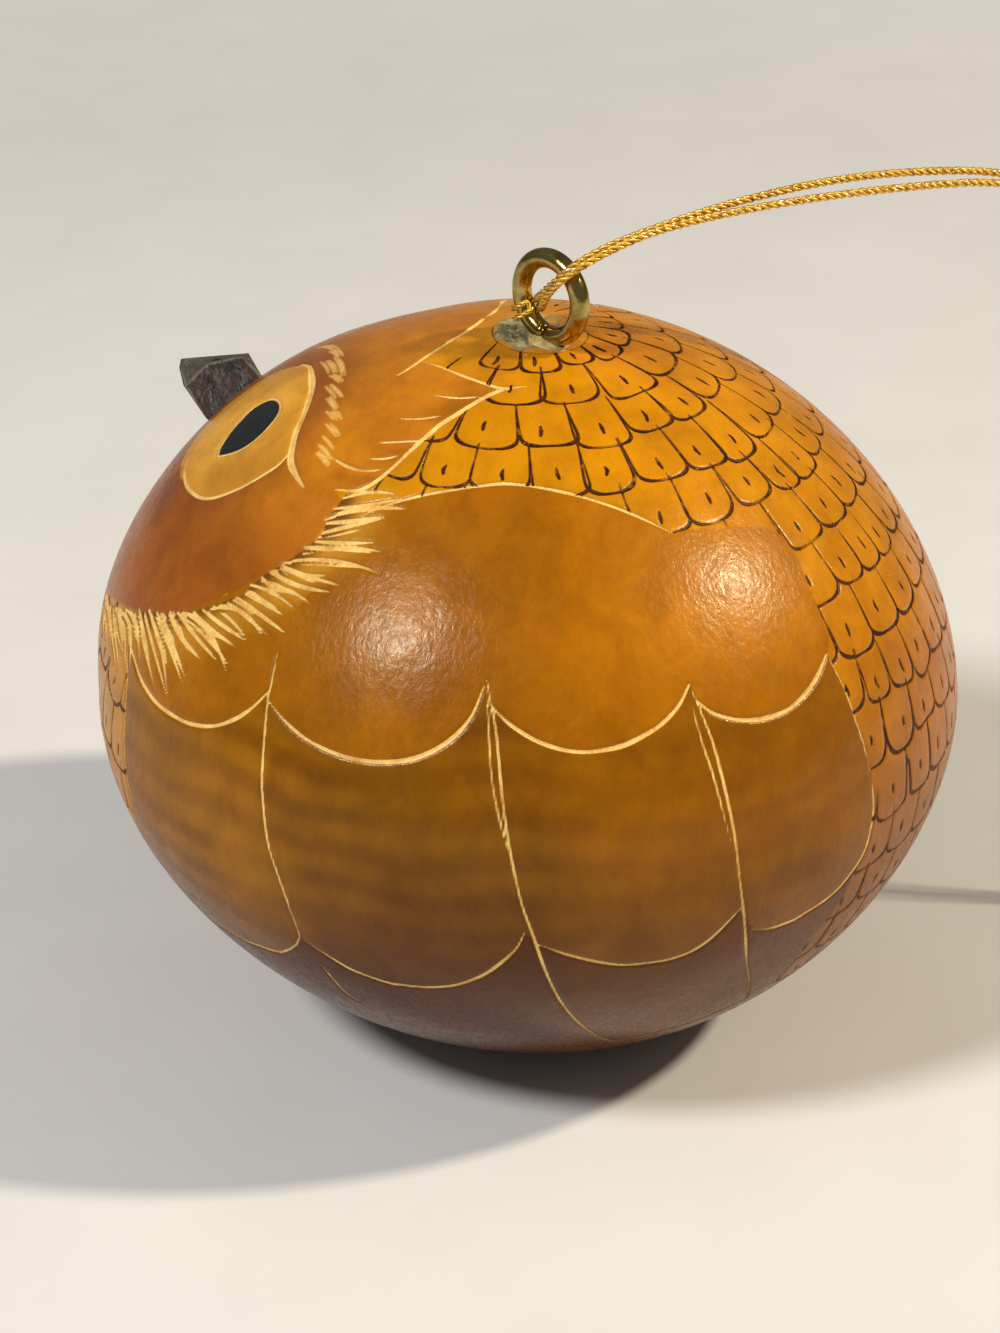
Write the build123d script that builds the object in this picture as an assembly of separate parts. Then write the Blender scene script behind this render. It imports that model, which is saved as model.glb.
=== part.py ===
from build123d import *
import math
import os

# A hanging ornament: a dried gourd carved as an owl, with a screw eye and a doubled cord.
# It stands on z = 0 and the owl faces -Y. Lengths are in millimetres, angles in degrees.

# Gourd: a hollow round body. Its outline is two power curves that meet at its widest height.
BODY_RADIUS = 36.15
WIDEST_HEIGHT = 28.7
CROWN_RISE = 32.3
BASE_CUT = 2.0
CROWN_POWER = 1.86
BELLY_POWER = 1.82
WALL = 3.0
BASE_WALL = 2.2
OUTLINE_STEPS = 18
BELLY_DROP = WIDEST_HEIGHT + BASE_CUT

# Stem: the cut stub of the stalk that plugs the crown, a little off the body's axis.
STEM_X = 1.49
STEM_Y = 1.68
STEM_RADIUS = 4.2
STEM_DEPTH = 7.0
STEM_PROUD = 0.3

# Screw eye: a wire ring on a threaded shank, with a collar of putty round its foot.
EYE_X = 2.75
EYE_Y = 3.20
EYE_HEADING = 71
RING_OUTER = 8.0
WIRE = 1.6
EYE_SINK = 0.45
SHANK_LENGTH = 9.5
SHANK_POINT = 1.8
THREAD_CORE = 1.2
THREAD_PITCH = 0.8
THREAD_START = 1.2
PUTTY_RADIUS = 2.2
PUTTY_HEIGHT = 0.45

# Beak: a faceted chip of wood, glued on at a distance in from the gourd's widest edge.
BEAK_INSET = 10.15
BEAK_LENGTH = 10.0
BEAK_WIDTH = 6.0
BEAK_HEIGHT = 5.5
GLUE_THICKNESS = 0.3
GLUE_LENGTH = 4.4
GLUE_WIDTH = 6.4

# Dried pulp under the stem, and seeds on the floor of the cavity.
PULP_RADIUS = 6.0
PULP_DROP = 5.0
SEED_LENGTH = 10.0
SEED_WIDTH = 5.4
SEED_THICKNESS = 1.9
SEED_EDGE = 0.6
SEED_GAP = 0.45
SEED_SPACING = 1.2
INNER_SEEDS = 5
OUTER_SEEDS = 6

# Cord: two wraps round the ring's wire, then two strands to a knot on the table.
CORD = 0.7
WRAP_HEADING = 211.5
WRAP_SPACING = 0.8
WRAP_CLEARANCE = 0.05
WRAP_LEAVES = -50
WRAP_JOINS = 25
LOOP_HEADING = 134
HITCH_GAP = 0.02
HINGE_GAP = 0.65
KNOT_TURNS = 3
KNOT_PITCH = 0.6
KNOT_CLEARANCE = 0.08

OVERRUN = 1.0
ARC_SHARE = 0.45

# Corners of the beak's left half, as shares of its half width, length and height from its
# seat: across, forwards and up. The last two lie inside the gourd, under the glue.
BEAK_CORNER_SHARES = [
    (0.485, 0.565, 0.122),
    (0.233, 0.384, 0.476),
    (0.233, -0.011, 0.711),
    (0.570, -0.198, 0.491),
    (1.000, 0.127, -0.120),
    (1.000, 0.305, -0.227),
    (0.967, 0.120, -0.530),
    (0.533, -0.240, 0.195),
]
BEAK_TIP_SHARES = [
    (0.000, 0.684, -0.027),
    (0.000, 0.721, 0.278),
    (0.000, 0.697, 0.435),
]

# Route of each strand, first in the ring's frame and then in the loop's: along, up, out.
UPPER_NEAR_RING = [
    (-1.311, -0.334, 0.013),
    (-0.40, 0.25, 0.70),
    (0.75, 1.25, 1.05),
    (2.10, 2.40, 1.20),
]
LOWER_NEAR_RING = [
    (-1.055, -1.118, -0.147),
    (0.00, -0.35, 0.85),
    (1.25, 1.05, 1.60),
    (2.65, 2.40, 1.75),
]
UPPER_AWAY = [
    (0.82, 3.60, 3.10),
    (3.90, 4.95, 3.10),
    (7.60, 5.80, 2.80),
    (14.50, 7.25, 2.55),
    (25.50, 8.30, 2.10),
    (38.70, 7.30, 2.00),
    (46.00, 3.50, 2.00),
    (51.50, -4.00, 2.00),
    (54.30, -14.00, 2.00),
    (56.00, -26.00, 2.00),
    (56.50, -38.00, 2.00),
    (57.20, -50.00, 2.00),
    (59.00, -58.50, 2.00),
    (62.00, -62.20, 2.05),
    (64.20, -63.00, 2.14),
    (66.80, -63.00, 2.14),
    (69.00, -63.72, 1.75),
    (71.10, -64.16, 1.15),
]
LOWER_AWAY = [
    (0.82, 3.60, 3.90),
    (3.90, 4.95, 3.90),
    (7.60, 5.95, 3.60),
    (14.50, 6.75, 3.30),
    (25.50, 7.15, 2.95),
    (38.70, 6.75, 2.80),
    (45.80, 3.20, 2.80),
    (51.70, -3.70, 2.80),
    (54.20, -14.00, 3.00),
    (55.80, -26.00, 3.20),
    (56.20, -38.00, 3.30),
    (56.90, -50.00, 3.20),
    (58.80, -58.50, 3.00),
    (61.90, -62.20, 2.95),
    (64.20, -63.00, 2.86),
    (66.80, -63.00, 2.86),
    (68.90, -63.75, 3.30),
    (70.70, -64.16, 3.95),
]
# Runs of a route that lie across the two fold lines and through the knot.
LIFT_RUN = 5
FOLD_RUN = 11
KNOT_RUN = 19


def outline_point(turn, grow, reach, power, side):
    """Outline at an angle from the widest height, where 90 is the pole: radius, height."""
    radius = (BODY_RADIUS + grow) * math.cos(math.radians(turn)) ** (2 / power)
    rise = (reach + grow) * math.sin(math.radians(turn)) ** (2 / power)
    return radius, WIDEST_HEIGHT + side * rise


def gourd_body(grow=0, floor=0):
    """Solid gourd with its surface moved out by grow, cut flat at the height floor."""
    drop = BELLY_DROP + grow
    last = math.asin(((WIDEST_HEIGHT - floor) / drop) ** (BELLY_POWER / 2))
    last_turn = math.degrees(last)
    crown = []
    belly = []
    for step in range(OUTLINE_STEPS + 1):
        share = step / OUTLINE_STEPS
        crown.append(outline_point(90 * share, grow, CROWN_RISE, CROWN_POWER, 1))
        belly.append(outline_point(last_turn * share, grow, BELLY_DROP, BELLY_POWER, -1))
    bend = 2 / BELLY_POWER - 1
    slope = (
        -(BODY_RADIUS + grow) * math.cos(last) ** bend * math.sin(last),
        -drop * math.sin(last) ** bend * math.cos(last),
    )
    with BuildPart() as body:
        with BuildSketch(Plane.XZ):
            with BuildLine():
                Spline(*crown, tangents=[(0, 1), (-1, 0)])
                Spline(*belly, tangents=[(0, -1), slope])
                Polyline(belly[-1], (0, floor), crown[-1])
            make_face()
        revolve(axis=Axis.Z)
    return body.part


def crown_height(radius):
    """Height of the crown's outer surface at a distance from the gourd's axis."""
    share = (radius / BODY_RADIUS) ** CROWN_POWER
    return WIDEST_HEIGHT + CROWN_RISE * (1 - share) ** (1 / CROWN_POWER)


def cavity_seat(radius):
    """Height and slope of the cavity's lower surface at a distance from the axis."""
    width = BODY_RADIUS - WALL
    drop = BELLY_DROP - WALL
    share = (radius / width) ** BELLY_POWER
    height = WIDEST_HEIGHT - drop * (1 - share) ** (1 / BELLY_POWER)
    slope = drop * (1 - share) ** (1 / BELLY_POWER - 1) * radius ** (BELLY_POWER - 1)
    slope /= width**BELLY_POWER
    return max(height, BASE_WALL), slope if height > BASE_WALL else 0


def upright_cylinder(x, y, radius, bottom, top):
    """Cylinder about a vertical line, from the height bottom to the height top."""
    solid = Cylinder(radius, top - bottom, align=(Align.CENTER, Align.CENTER, Align.MIN))
    return Pos(x, y, bottom) * solid


CROWN_TOP = WIDEST_HEIGHT + CROWN_RISE
BEAK_OUT = BODY_RADIUS - BEAK_INSET
WIRE_RADIUS = WIRE / 2
CORD_RADIUS = CORD / 2
RING_RADIUS = RING_OUTER / 2 - WIRE_RADIUS
FOOT_HEIGHT = crown_height(math.hypot(EYE_X, EYE_Y)) + STEM_PROUD
RING_HEIGHT = FOOT_HEIGHT + RING_OUTER / 2 - EYE_SINK
RING_BOTTOM = RING_HEIGHT - RING_RADIUS


def upright_plane(heading):
    """Frame at the ring's centre: X along a level heading, Y up and Z to its right."""
    turn = math.radians(heading)
    along = (math.cos(turn), math.sin(turn), 0)
    out = (math.sin(turn), -math.cos(turn), 0)
    return Plane(origin=(EYE_X, EYE_Y, RING_HEIGHT), x_dir=along, z_dir=out)


RING_PLANE = upright_plane(EYE_HEADING)
LOOP_PLANE = upright_plane(LOOP_HEADING)


def stem_plug():
    """The space of the stub, from inside the cavity to above the crown."""
    bottom = CROWN_TOP - STEM_DEPTH
    return upright_cylinder(STEM_X, STEM_Y, STEM_RADIUS, bottom, CROWN_TOP + OVERRUN)


def make_gourd_shell():
    """Hollow gourd with a hole in the crown for the stub."""
    return gourd_body() - gourd_body(-WALL, BASE_WALL) - stem_plug()


def make_screw_eye():
    """Ring of wire, its neck, and a pointed shank with a ridge for each turn of thread."""
    ring = RING_PLANE * Torus(RING_RADIUS, WIRE_RADIUS)
    thread_top = RING_BOTTOM - WIRE_RADIUS - THREAD_START
    tip = RING_BOTTOM - SHANK_LENGTH
    core = THREAD_CORE / 2
    outline = [(0, RING_BOTTOM), (WIRE_RADIUS, RING_BOTTOM), (WIRE_RADIUS, thread_top)]
    ridges = int((thread_top - tip - SHANK_POINT) / THREAD_PITCH)
    for ridge in range(ridges):
        top = thread_top - ridge * THREAD_PITCH
        outline.append((core, top - THREAD_PITCH / 2))
        outline.append((WIRE_RADIUS, top - THREAD_PITCH))
    outline.append((core, tip + SHANK_POINT))
    outline.append((0, tip))
    with BuildPart() as shank:
        with BuildSketch(Plane.XZ):
            with BuildLine():
                Polyline(*outline, close=True)
            make_face()
        revolve(axis=Axis.Z)
    return ring + Pos(EYE_X, EYE_Y, 0) * shank.part


def make_stem_stub(eye):
    """Stub of the stalk, a little proud of the crown, screwed full by the eye's shank."""
    return (stem_plug() & gourd_body(STEM_PROUD)) - eye


def make_eye_putty(shell, stub, eye):
    """Low collar of putty on the stub, round the foot of the ring."""
    reach = (PUTTY_RADIUS**2 + PUTTY_HEIGHT**2) / (2 * PUTTY_HEIGHT)
    bottom = FOOT_HEIGHT - OVERRUN
    space = upright_cylinder(EYE_X, EYE_Y, PUTTY_RADIUS, bottom, CROWN_TOP + RING_OUTER)
    dome = Pos(EYE_X, EYE_Y, FOOT_HEIGHT + PUTTY_HEIGHT - reach) * Sphere(reach)
    return (space & dome) - shell - stub - eye


def beak_corner(share, side):
    """A corner of the beak, in the gourd's frame, on the left (1) or right (-1)."""
    across, forwards, up = share
    x = side * across * BEAK_WIDTH / 2
    y = -BEAK_OUT - forwards * BEAK_LENGTH
    return x, y, crown_height(BEAK_OUT) + up * BEAK_HEIGHT


def make_beak():
    """Faceted beak, cut to the gourd's curve with room for the glue."""
    corners = [beak_corner(share, 1) for share in BEAK_CORNER_SHARES + BEAK_TIP_SHARES]
    corners += [beak_corner(share, -1) for share in BEAK_CORNER_SHARES]
    return ConvexPolyhedron(corners) - gourd_body(GLUE_THICKNESS)


def make_beak_glue():
    """Oval pad of glue between the gourd and the beak."""
    pad = extrude(Ellipse(GLUE_WIDTH / 2, GLUE_LENGTH / 2), amount=CROWN_TOP)
    return (Pos(0, -BEAK_OUT, WIDEST_HEIGHT) * pad & gourd_body(GLUE_THICKNESS)) - gourd_body()


def make_dried_pulp(stub, eye):
    """Lump of dried pulp that hangs round the inner end of the stub."""
    lump = Pos(STEM_X, STEM_Y, CROWN_TOP - WALL - PULP_DROP) * Sphere(PULP_RADIUS)
    return (lump & gourd_body(-WALL, BASE_WALL)) - stub - eye


def make_seed(radius, turn):
    """One flat oval seed on the cavity's floor, its long side across the slope."""
    height, slope = cavity_seat(radius)
    sag = SEED_LENGTH**2 / (8 * (BODY_RADIUS - WALL)) if slope else 0
    lift = SEED_GAP + sag
    angle = math.radians(turn)
    tilt = math.atan(slope)
    inwards = -math.sin(tilt)
    normal = Vector(inwards * math.cos(angle), inwards * math.sin(angle), math.cos(tilt))
    seat = Vector(radius * math.cos(angle), radius * math.sin(angle), height)
    plane = Plane(
        origin=seat + normal * lift,
        x_dir=(-math.sin(angle), math.cos(angle), 0),
        z_dir=normal,
    )
    seed = extrude(Ellipse(SEED_LENGTH / 2, SEED_WIDTH / 2), amount=SEED_THICKNESS)
    rims = seed.edges().filter_by(GeomType.ELLIPSE)
    return plane * chamfer(rims, SEED_EDGE)


def make_seeds():
    """Seeds on the cavity's floor: one in the middle, then an inner and an outer ring."""
    inner = SEED_LENGTH / 2 + SEED_WIDTH / 2 + SEED_SPACING
    outer = inner + SEED_WIDTH + SEED_SPACING
    seeds = [make_seed(0, 0)]
    for count, radius in ((INNER_SEEDS, inner), (OUTER_SEEDS, outer)):
        for place in range(count):
            seeds.append(make_seed(radius, 360 * place / count))
    return seeds


WRAP_RADIUS = WIRE_RADIUS + CORD_RADIUS + WRAP_CLEARANCE


def wrap_plane(side):
    """Frame of one wrap round the wire: X to the ring's centre, Y behind the ring."""
    middle = math.radians(WRAP_HEADING)
    place = middle - side * WRAP_SPACING / (2 * RING_RADIUS)
    origin = (RING_RADIUS * math.cos(place), RING_RADIUS * math.sin(place), 0)
    inwards = Vector(-math.cos(middle), -math.sin(middle), 0)
    tangent = inwards.cross(Vector(0, 0, -1))
    centre = RING_PLANE.from_local_coords(Vector(*origin))
    x_dir = RING_PLANE.from_local_coords(inwards) - RING_PLANE.origin
    z_dir = RING_PLANE.from_local_coords(tangent) - RING_PLANE.origin
    return Plane(origin=centre, x_dir=x_dir, z_dir=z_dir)


def wrap_point(side, turn):
    """Point of a wrap's centre line, at an angle from the wire's inner side to its front."""
    angle = math.radians(-turn)
    local = Vector(WRAP_RADIUS * math.cos(angle), WRAP_RADIUS * math.sin(angle), 0)
    return wrap_plane(side).from_local_coords(local)


def make_cord_hitch():
    """Two wraps round the wire, joined at the front by the bight that holds them."""
    sweep_angle = 360 + WRAP_LEAVES - WRAP_JOINS
    wraps = []
    for side in (1, -1):
        arc = Torus(WRAP_RADIUS, CORD_RADIUS, major_angle=sweep_angle)
        wraps.append(wrap_plane(side) * Rot(0, 0, -WRAP_LEAVES) * arc)
    begin = wrap_point(1, WRAP_JOINS)
    end = wrap_point(-1, WRAP_JOINS)
    bight = Plane(origin=(begin + end) / 2, z_dir=end - begin)
    bar = bight * Cylinder(CORD_RADIUS, (end - begin).length)
    caps = [Pos(*begin) * Sphere(CORD_RADIUS), Pos(*end) * Sphere(CORD_RADIUS)]
    return wraps[0] + wraps[1] + bar + caps[0] + caps[1]


def strand_route(side, near_ring, away):
    """Points of one strand from its wrap to the tail past the knot."""
    begin = wrap_point(side, WRAP_LEAVES)
    route = [RING_PLANE.from_local_coords(Vector(*point)) for point in near_ring]
    route.insert(0, begin + (route[0] - begin).normalized() * HITCH_GAP)
    route += [LOOP_PLANE.from_local_coords(Vector(*point)) for point in away]
    return route


def corner_radii(points, cut_ends=()):
    """Radius of the arc at each inner point, as large as its two runs allow.

    A run that a fold cuts in half, named by its index in cut_ends, counts as twice its length.
    """
    runs = [(after - before).length for before, after in zip(points, points[1:])]
    for run in cut_ends:
        runs[run] *= 2
    radii = []
    for index in range(len(runs) - 1):
        run = min(runs[index], runs[index + 1])
        before, point, after = points[index : index + 3]
        turn = (point - before).get_angle(after - point)
        radii.append(ARC_SHARE * run / math.tan(math.radians(turn / 2)))
    return radii


def tube(points, radii):
    """Round tube of the cord's thickness along straight runs joined by arcs."""
    path = FilletPolyline(*points, radius=radii)
    section = Plane(origin=path @ 0, z_dir=path % 0) * Circle(CORD_RADIUS)
    return sweep(section, path=path), path.length


def run_middle(route, run, shift):
    """Point of a run, shifted along it from the run's middle."""
    begin, end = route[run], route[run + 1]
    return (begin + end) / 2 + (end - begin).normalized() * shift


def make_strand(name, route):
    """Lead, near stretch and far stretch of one strand, split where the loop folds."""
    lead = route[: LIFT_RUN + 1] + [run_middle(route, LIFT_RUN, 0)]
    near = [run_middle(route, LIFT_RUN, HINGE_GAP)]
    near += route[LIFT_RUN + 1 : FOLD_RUN + 1] + [run_middle(route, FOLD_RUN, 0)]
    far = [run_middle(route, FOLD_RUN, HINGE_GAP)] + route[FOLD_RUN + 1 :]
    pieces = []
    total = 0
    for points, cut_ends in ((lead, [-1]), (near, [0, -1]), (far, [0])):
        radii = corner_radii(points, cut_ends)
        solid, length = tube(points, radii)
        share = solid.volume / (math.pi * CORD_RADIUS**2 * length)
        total += length
        print(name, "radii", [round(radius, 2) for radius in radii])
        print(name, "length", round(length, 2), "volume share", round(share, 4))
        pieces.append(solid)
    print(name, "whole length", round(total, 1))
    return pieces


def make_cord_knot(upper_route, lower_route):
    """Tight turns round both strands, side by side along them."""
    begin = (upper_route[KNOT_RUN] + lower_route[KNOT_RUN]) / 2
    end = (upper_route[KNOT_RUN + 1] + lower_route[KNOT_RUN + 1]) / 2
    frame = Plane(origin=(begin + end) / 2, z_dir=end - begin)
    turn_radius = CORD + KNOT_CLEARANCE + CORD_RADIUS
    knot = None
    for turn in range(KNOT_TURNS):
        shift = (turn - (KNOT_TURNS - 1) / 2) * KNOT_PITCH
        ring = frame * Pos(0, 0, shift) * Torus(turn_radius, CORD_RADIUS)
        knot = knot + ring if knot else ring
    return knot


def hinge_line(route, run):
    """The middle of a run and the level axis that raises the loop there."""
    point = run_middle(route, run, 0)
    axis = LOOP_PLANE.z_dir
    print("hinge", [round(value, 4) for value in point], [round(value, 6) for value in axis])


def main():
    shell = make_gourd_shell()
    eye = make_screw_eye()
    stub = make_stem_stub(eye)
    upper_route = strand_route(1, UPPER_NEAR_RING, UPPER_AWAY)
    lower_route = strand_route(-1, LOWER_NEAR_RING, LOWER_AWAY)
    upper = make_strand("upper strand", upper_route)
    lower = make_strand("lower strand", lower_route)
    for route in (upper_route, lower_route):
        hinge_line(route, LIFT_RUN)
        hinge_line(route, FOLD_RUN)
    parts = {
        "gourd_shell": shell,
        "stem_stub": stub,
        "screw_eye": eye,
        "eye_putty": make_eye_putty(shell, stub, eye),
        "beak": make_beak(),
        "beak_glue": make_beak_glue(),
        "dried_pulp": make_dried_pulp(stub, eye),
        "cord_hitch": make_cord_hitch(),
        "cord_lead_upper": upper[0],
        "cord_lead_lower": lower[0],
        "cord_near_upper": upper[1],
        "cord_near_lower": lower[1],
        "cord_far_upper": upper[2],
        "cord_far_lower": lower[2],
        "cord_knot": make_cord_knot(upper_route, lower_route),
    }
    for number, seed in enumerate(make_seeds(), 1):
        parts[f"seed_{number:02d}"] = seed
    os.makedirs("parts", exist_ok=True)
    for name, solid in parts.items():
        export_step(solid, f"parts/{name}.step")


main()
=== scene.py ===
import math

import bpy
import numpy as np
from mathutils import Matrix, Vector


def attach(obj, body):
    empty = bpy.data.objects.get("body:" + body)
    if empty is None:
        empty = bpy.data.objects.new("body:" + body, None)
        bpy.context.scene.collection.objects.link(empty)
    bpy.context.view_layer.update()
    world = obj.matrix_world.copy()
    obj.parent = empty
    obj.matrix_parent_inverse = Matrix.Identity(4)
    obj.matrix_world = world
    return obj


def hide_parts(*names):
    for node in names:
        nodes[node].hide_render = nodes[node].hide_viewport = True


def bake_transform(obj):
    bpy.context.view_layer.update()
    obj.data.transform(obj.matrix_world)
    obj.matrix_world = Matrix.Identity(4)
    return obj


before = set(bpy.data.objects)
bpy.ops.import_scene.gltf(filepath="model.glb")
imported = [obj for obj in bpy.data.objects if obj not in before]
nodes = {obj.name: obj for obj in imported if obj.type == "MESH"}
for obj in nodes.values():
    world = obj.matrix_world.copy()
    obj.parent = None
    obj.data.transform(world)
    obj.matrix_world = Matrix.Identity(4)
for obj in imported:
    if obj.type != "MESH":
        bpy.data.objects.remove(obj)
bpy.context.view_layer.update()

# Lengths are in millimetres up to the point where a mesh is made.
MM = 0.001
BODY_RADIUS = 36.15
WIDEST_HEIGHT = 28.7
CROWN_RISE = 32.3
BELLY_DROP = 30.7
CROWN_POWER = 1.86
BELLY_POWER = 1.82
WALL = 3.0
BASE_WALL = 2.2
STEM = np.array([1.22, 1.55])
STEM_RADIUS = 3.85
STEM_DEPTH = 7.0
STEM_PROUD = 0.3
STEM_GAP = 0.03
RING_CENTRE = np.array([2.75, 3.20, 64.53])
RING_RADIUS = 3.2
WIRE_RADIUS = 0.8
CORD = 0.7
LEAN = 1.6
FACE_BULGE = 1.05
BULGE_TOWARDS = np.array([0, -0.866, 0.5])
BULGE_EDGE = 0.743
BULGE_CORE = 0.990
FRONT_LIMIT = 36.1
FRONT_EASE = 0.8


def rgb(red, green, blue):
    """Linear colour from the 0 to 255 scale of a screen."""
    out = []
    for value in (red, green, blue):
        value /= 255
        out.append(value / 12.92 if value <= 0.04045 else ((value + 0.055) / 1.055) ** 2.4)
    return tuple(out)


def put(name, data):
    """Object of the scene that shows the data."""
    obj = bpy.data.objects.new(name, data)
    bpy.context.scene.collection.objects.link(obj)
    return obj


# Camera, at the photograph's angle.
AZIMUTH = math.radians(116)
ELEVATION = math.radians(26)
RIGHT = np.array([math.cos(AZIMUTH), math.sin(AZIMUTH), 0])
BACK = np.array([
    math.sin(AZIMUTH) * math.cos(ELEVATION),
    -math.cos(AZIMUTH) * math.cos(ELEVATION),
    math.sin(ELEVATION),
])
UP = np.cross(BACK, RIGHT)
FOCAL = 3551.0
PHOTO_WIDE = 1000
PHOTO_HIGH = 1333
SENSOR = 36
EYE_POINT = np.array([0, 0, 30.06]) - 2.35 * RIGHT + 300 * BACK


def make_camera():
    data = bpy.data.cameras.new("camera")
    data.sensor_fit = "VERTICAL"
    data.sensor_height = SENSOR
    data.lens = FOCAL / PHOTO_HIGH * SENSOR
    data.clip_start = 0.01
    data.clip_end = 10
    camera = put("camera", data)
    turn = Matrix([RIGHT, UP, BACK]).transposed().to_4x4()
    camera.matrix_world = Matrix.Translation(Vector(EYE_POINT * MM)) @ turn
    bpy.context.scene.camera = camera


make_camera()


# Nodes of the materials.
class Shader:
    """A material's node tree with short calls for its parts."""

    def __init__(self, name):
        self.material = bpy.data.materials.new(name)
        self.material.use_nodes = True
        self.tree = self.material.node_tree
        self.bsdf = self.tree.nodes["Principled BSDF"]
        self.place = self.tree.nodes.new("ShaderNodeTexCoord").outputs["Object"]

    def link(self, value, socket):
        if isinstance(value, bpy.types.NodeSocket):
            self.tree.links.new(value, socket)
        elif hasattr(socket.default_value, "__len__") and hasattr(value, "__len__"):
            socket.default_value = (*value, 1)[: len(socket.default_value)]
        else:
            socket.default_value = value

    def set(self, name, value):
        self.link(value, self.bsdf.inputs[name])

    def attribute(self, name, output="Fac"):
        node = self.tree.nodes.new("ShaderNodeAttribute")
        node.attribute_name = name
        return node.outputs[output]

    def stretched(self, scale):
        node = self.tree.nodes.new("ShaderNodeMapping")
        self.link(self.place, node.inputs["Vector"])
        node.inputs["Scale"].default_value = scale
        return node.outputs["Vector"]

    def noise(self, scale, detail=3, rough=0.5, vector=None, distortion=0):
        node = self.tree.nodes.new("ShaderNodeTexNoise")
        self.link(vector or self.place, node.inputs["Vector"])
        node.inputs["Scale"].default_value = scale
        node.inputs["Detail"].default_value = detail
        node.inputs["Roughness"].default_value = rough
        node.inputs["Distortion"].default_value = distortion
        return node.outputs["Fac"]

    def spread(self, value, low, high, to_low=0.0, to_high=1.0):
        node = self.tree.nodes.new("ShaderNodeMapRange")
        self.link(value, node.inputs["Value"])
        for name, number in (("From Min", low), ("From Max", high), ("To Min", to_low), ("To Max", to_high)):
            node.inputs[name].default_value = number
        return node.outputs["Result"]

    def patches(self, scale, detail, rough, low, high, to_low=0.0, to_high=1.0):
        """Noise whose levels from low to high are spread between two values."""
        return self.spread(self.noise(scale, detail, rough), low, high, to_low, to_high)

    def math(self, kind, one, two=0.0):
        node = self.tree.nodes.new("ShaderNodeMath")
        node.operation = kind
        self.link(one, node.inputs[0])
        self.link(two, node.inputs[1])
        return node.outputs[0]

    def mix(self, share, one, two, blend="MIX"):
        node = self.tree.nodes.new("ShaderNodeMix")
        node.data_type = "RGBA"
        node.blend_type = blend
        self.link(share, node.inputs["Factor"])
        sockets = {s.identifier: s for s in node.inputs}
        self.link(one, sockets["A_Color"])
        self.link(two, sockets["B_Color"])
        return [s for s in node.outputs if s.identifier == "Result_Color"][0]

    def bump(self, height, distance, strength=1.0, below=None):
        node = self.tree.nodes.new("ShaderNodeBump")
        node.inputs["Strength"].default_value = strength
        node.inputs["Distance"].default_value = distance
        self.link(height, node.inputs["Height"])
        if below is not None:
            self.link(below, node.inputs["Normal"])
        return node.outputs["Normal"]


def dress(obj, shader):
    obj.data.materials.clear()
    obj.data.materials.append(shader.material)


def dress_node(name, shader):
    """Gives a CAD node's own slots the material."""
    obj = nodes[name]
    if not obj.material_slots:
        obj.data.materials.append(shader.material)
    for place in obj.material_slots:
        place.material = shader.material


def add_mesh(name, points, faces, body):
    """Smooth mesh object from points in mm and faces."""
    mesh = bpy.data.meshes.new(name)
    mesh.from_pydata([tuple(p) for p in np.asarray(points) * MM], [], [tuple(f) for f in faces])
    mesh.update()
    mesh.polygons.foreach_set("use_smooth", [True] * len(mesh.polygons))
    obj = put(name, mesh)
    if body:
        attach(obj, body)
    return obj


def store(mesh, name, values, kind="FLOAT"):
    """Keeps a number or a colour for each point, which a material reads by its name."""
    data = mesh.attributes.new(name, kind, "POINT").data
    data.foreach_set("value" if kind == "FLOAT" else "color", np.asarray(values, np.float32).ravel())


def tube_faces(rows, sides, base=0):
    """Sides of a tube whose rings of points follow each other from the point base."""
    faces = []
    for row in range(rows - 1):
        a, b = base + row * sides, base + (row + 1) * sides
        for turn in range(sides):
            after = (turn + 1) % sides
            faces.append((a + turn, a + after, b + after, b + turn))
    return faces


def end_face(base, sides):
    return tuple(base + turn for turn in range(sides))


# Cord.
RING_HEADING = 71
LOOP_HEADING = 134


def direction(heading):
    """Level direction at an angle in degrees from +X."""
    turn = math.radians(heading)
    return np.array([math.cos(turn), math.sin(turn), 0])


def ring_point(along, up, out, heading=RING_HEADING):
    """Point seen from the ring's centre: along a heading, up, and out to its right."""
    ahead = direction(heading)
    right = np.array([ahead[1], -ahead[0], 0])
    return RING_CENTRE + along * ahead + out * right + np.array([0, 0, up])


def loop_point(along, up, out):
    return ring_point(along, up, out, LOOP_HEADING)


WRAP_HEADING = math.radians(211.5)
WRAP_SPACING = 0.8
WRAP_PRESS = 0.14
WRAP_RADIUS = WIRE_RADIUS + CORD / 2 - WRAP_PRESS
WRAP_FIRST = -50
WRAP_LAST = -335
WRAP_STEP = 15


def wrap_point(side, turn):
    """Centre line of a wrap round the wire, from its inner side (0) to its front (90)."""
    place = WRAP_HEADING - side * WRAP_SPACING / (2 * RING_RADIUS)
    inwards = -WRAP_RADIUS * math.cos(math.radians(turn))
    along = RING_RADIUS * math.cos(place) + inwards * math.cos(WRAP_HEADING)
    up = RING_RADIUS * math.sin(place) + inwards * math.sin(WRAP_HEADING)
    return ring_point(along, up, WRAP_RADIUS * math.sin(math.radians(turn)))


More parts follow.
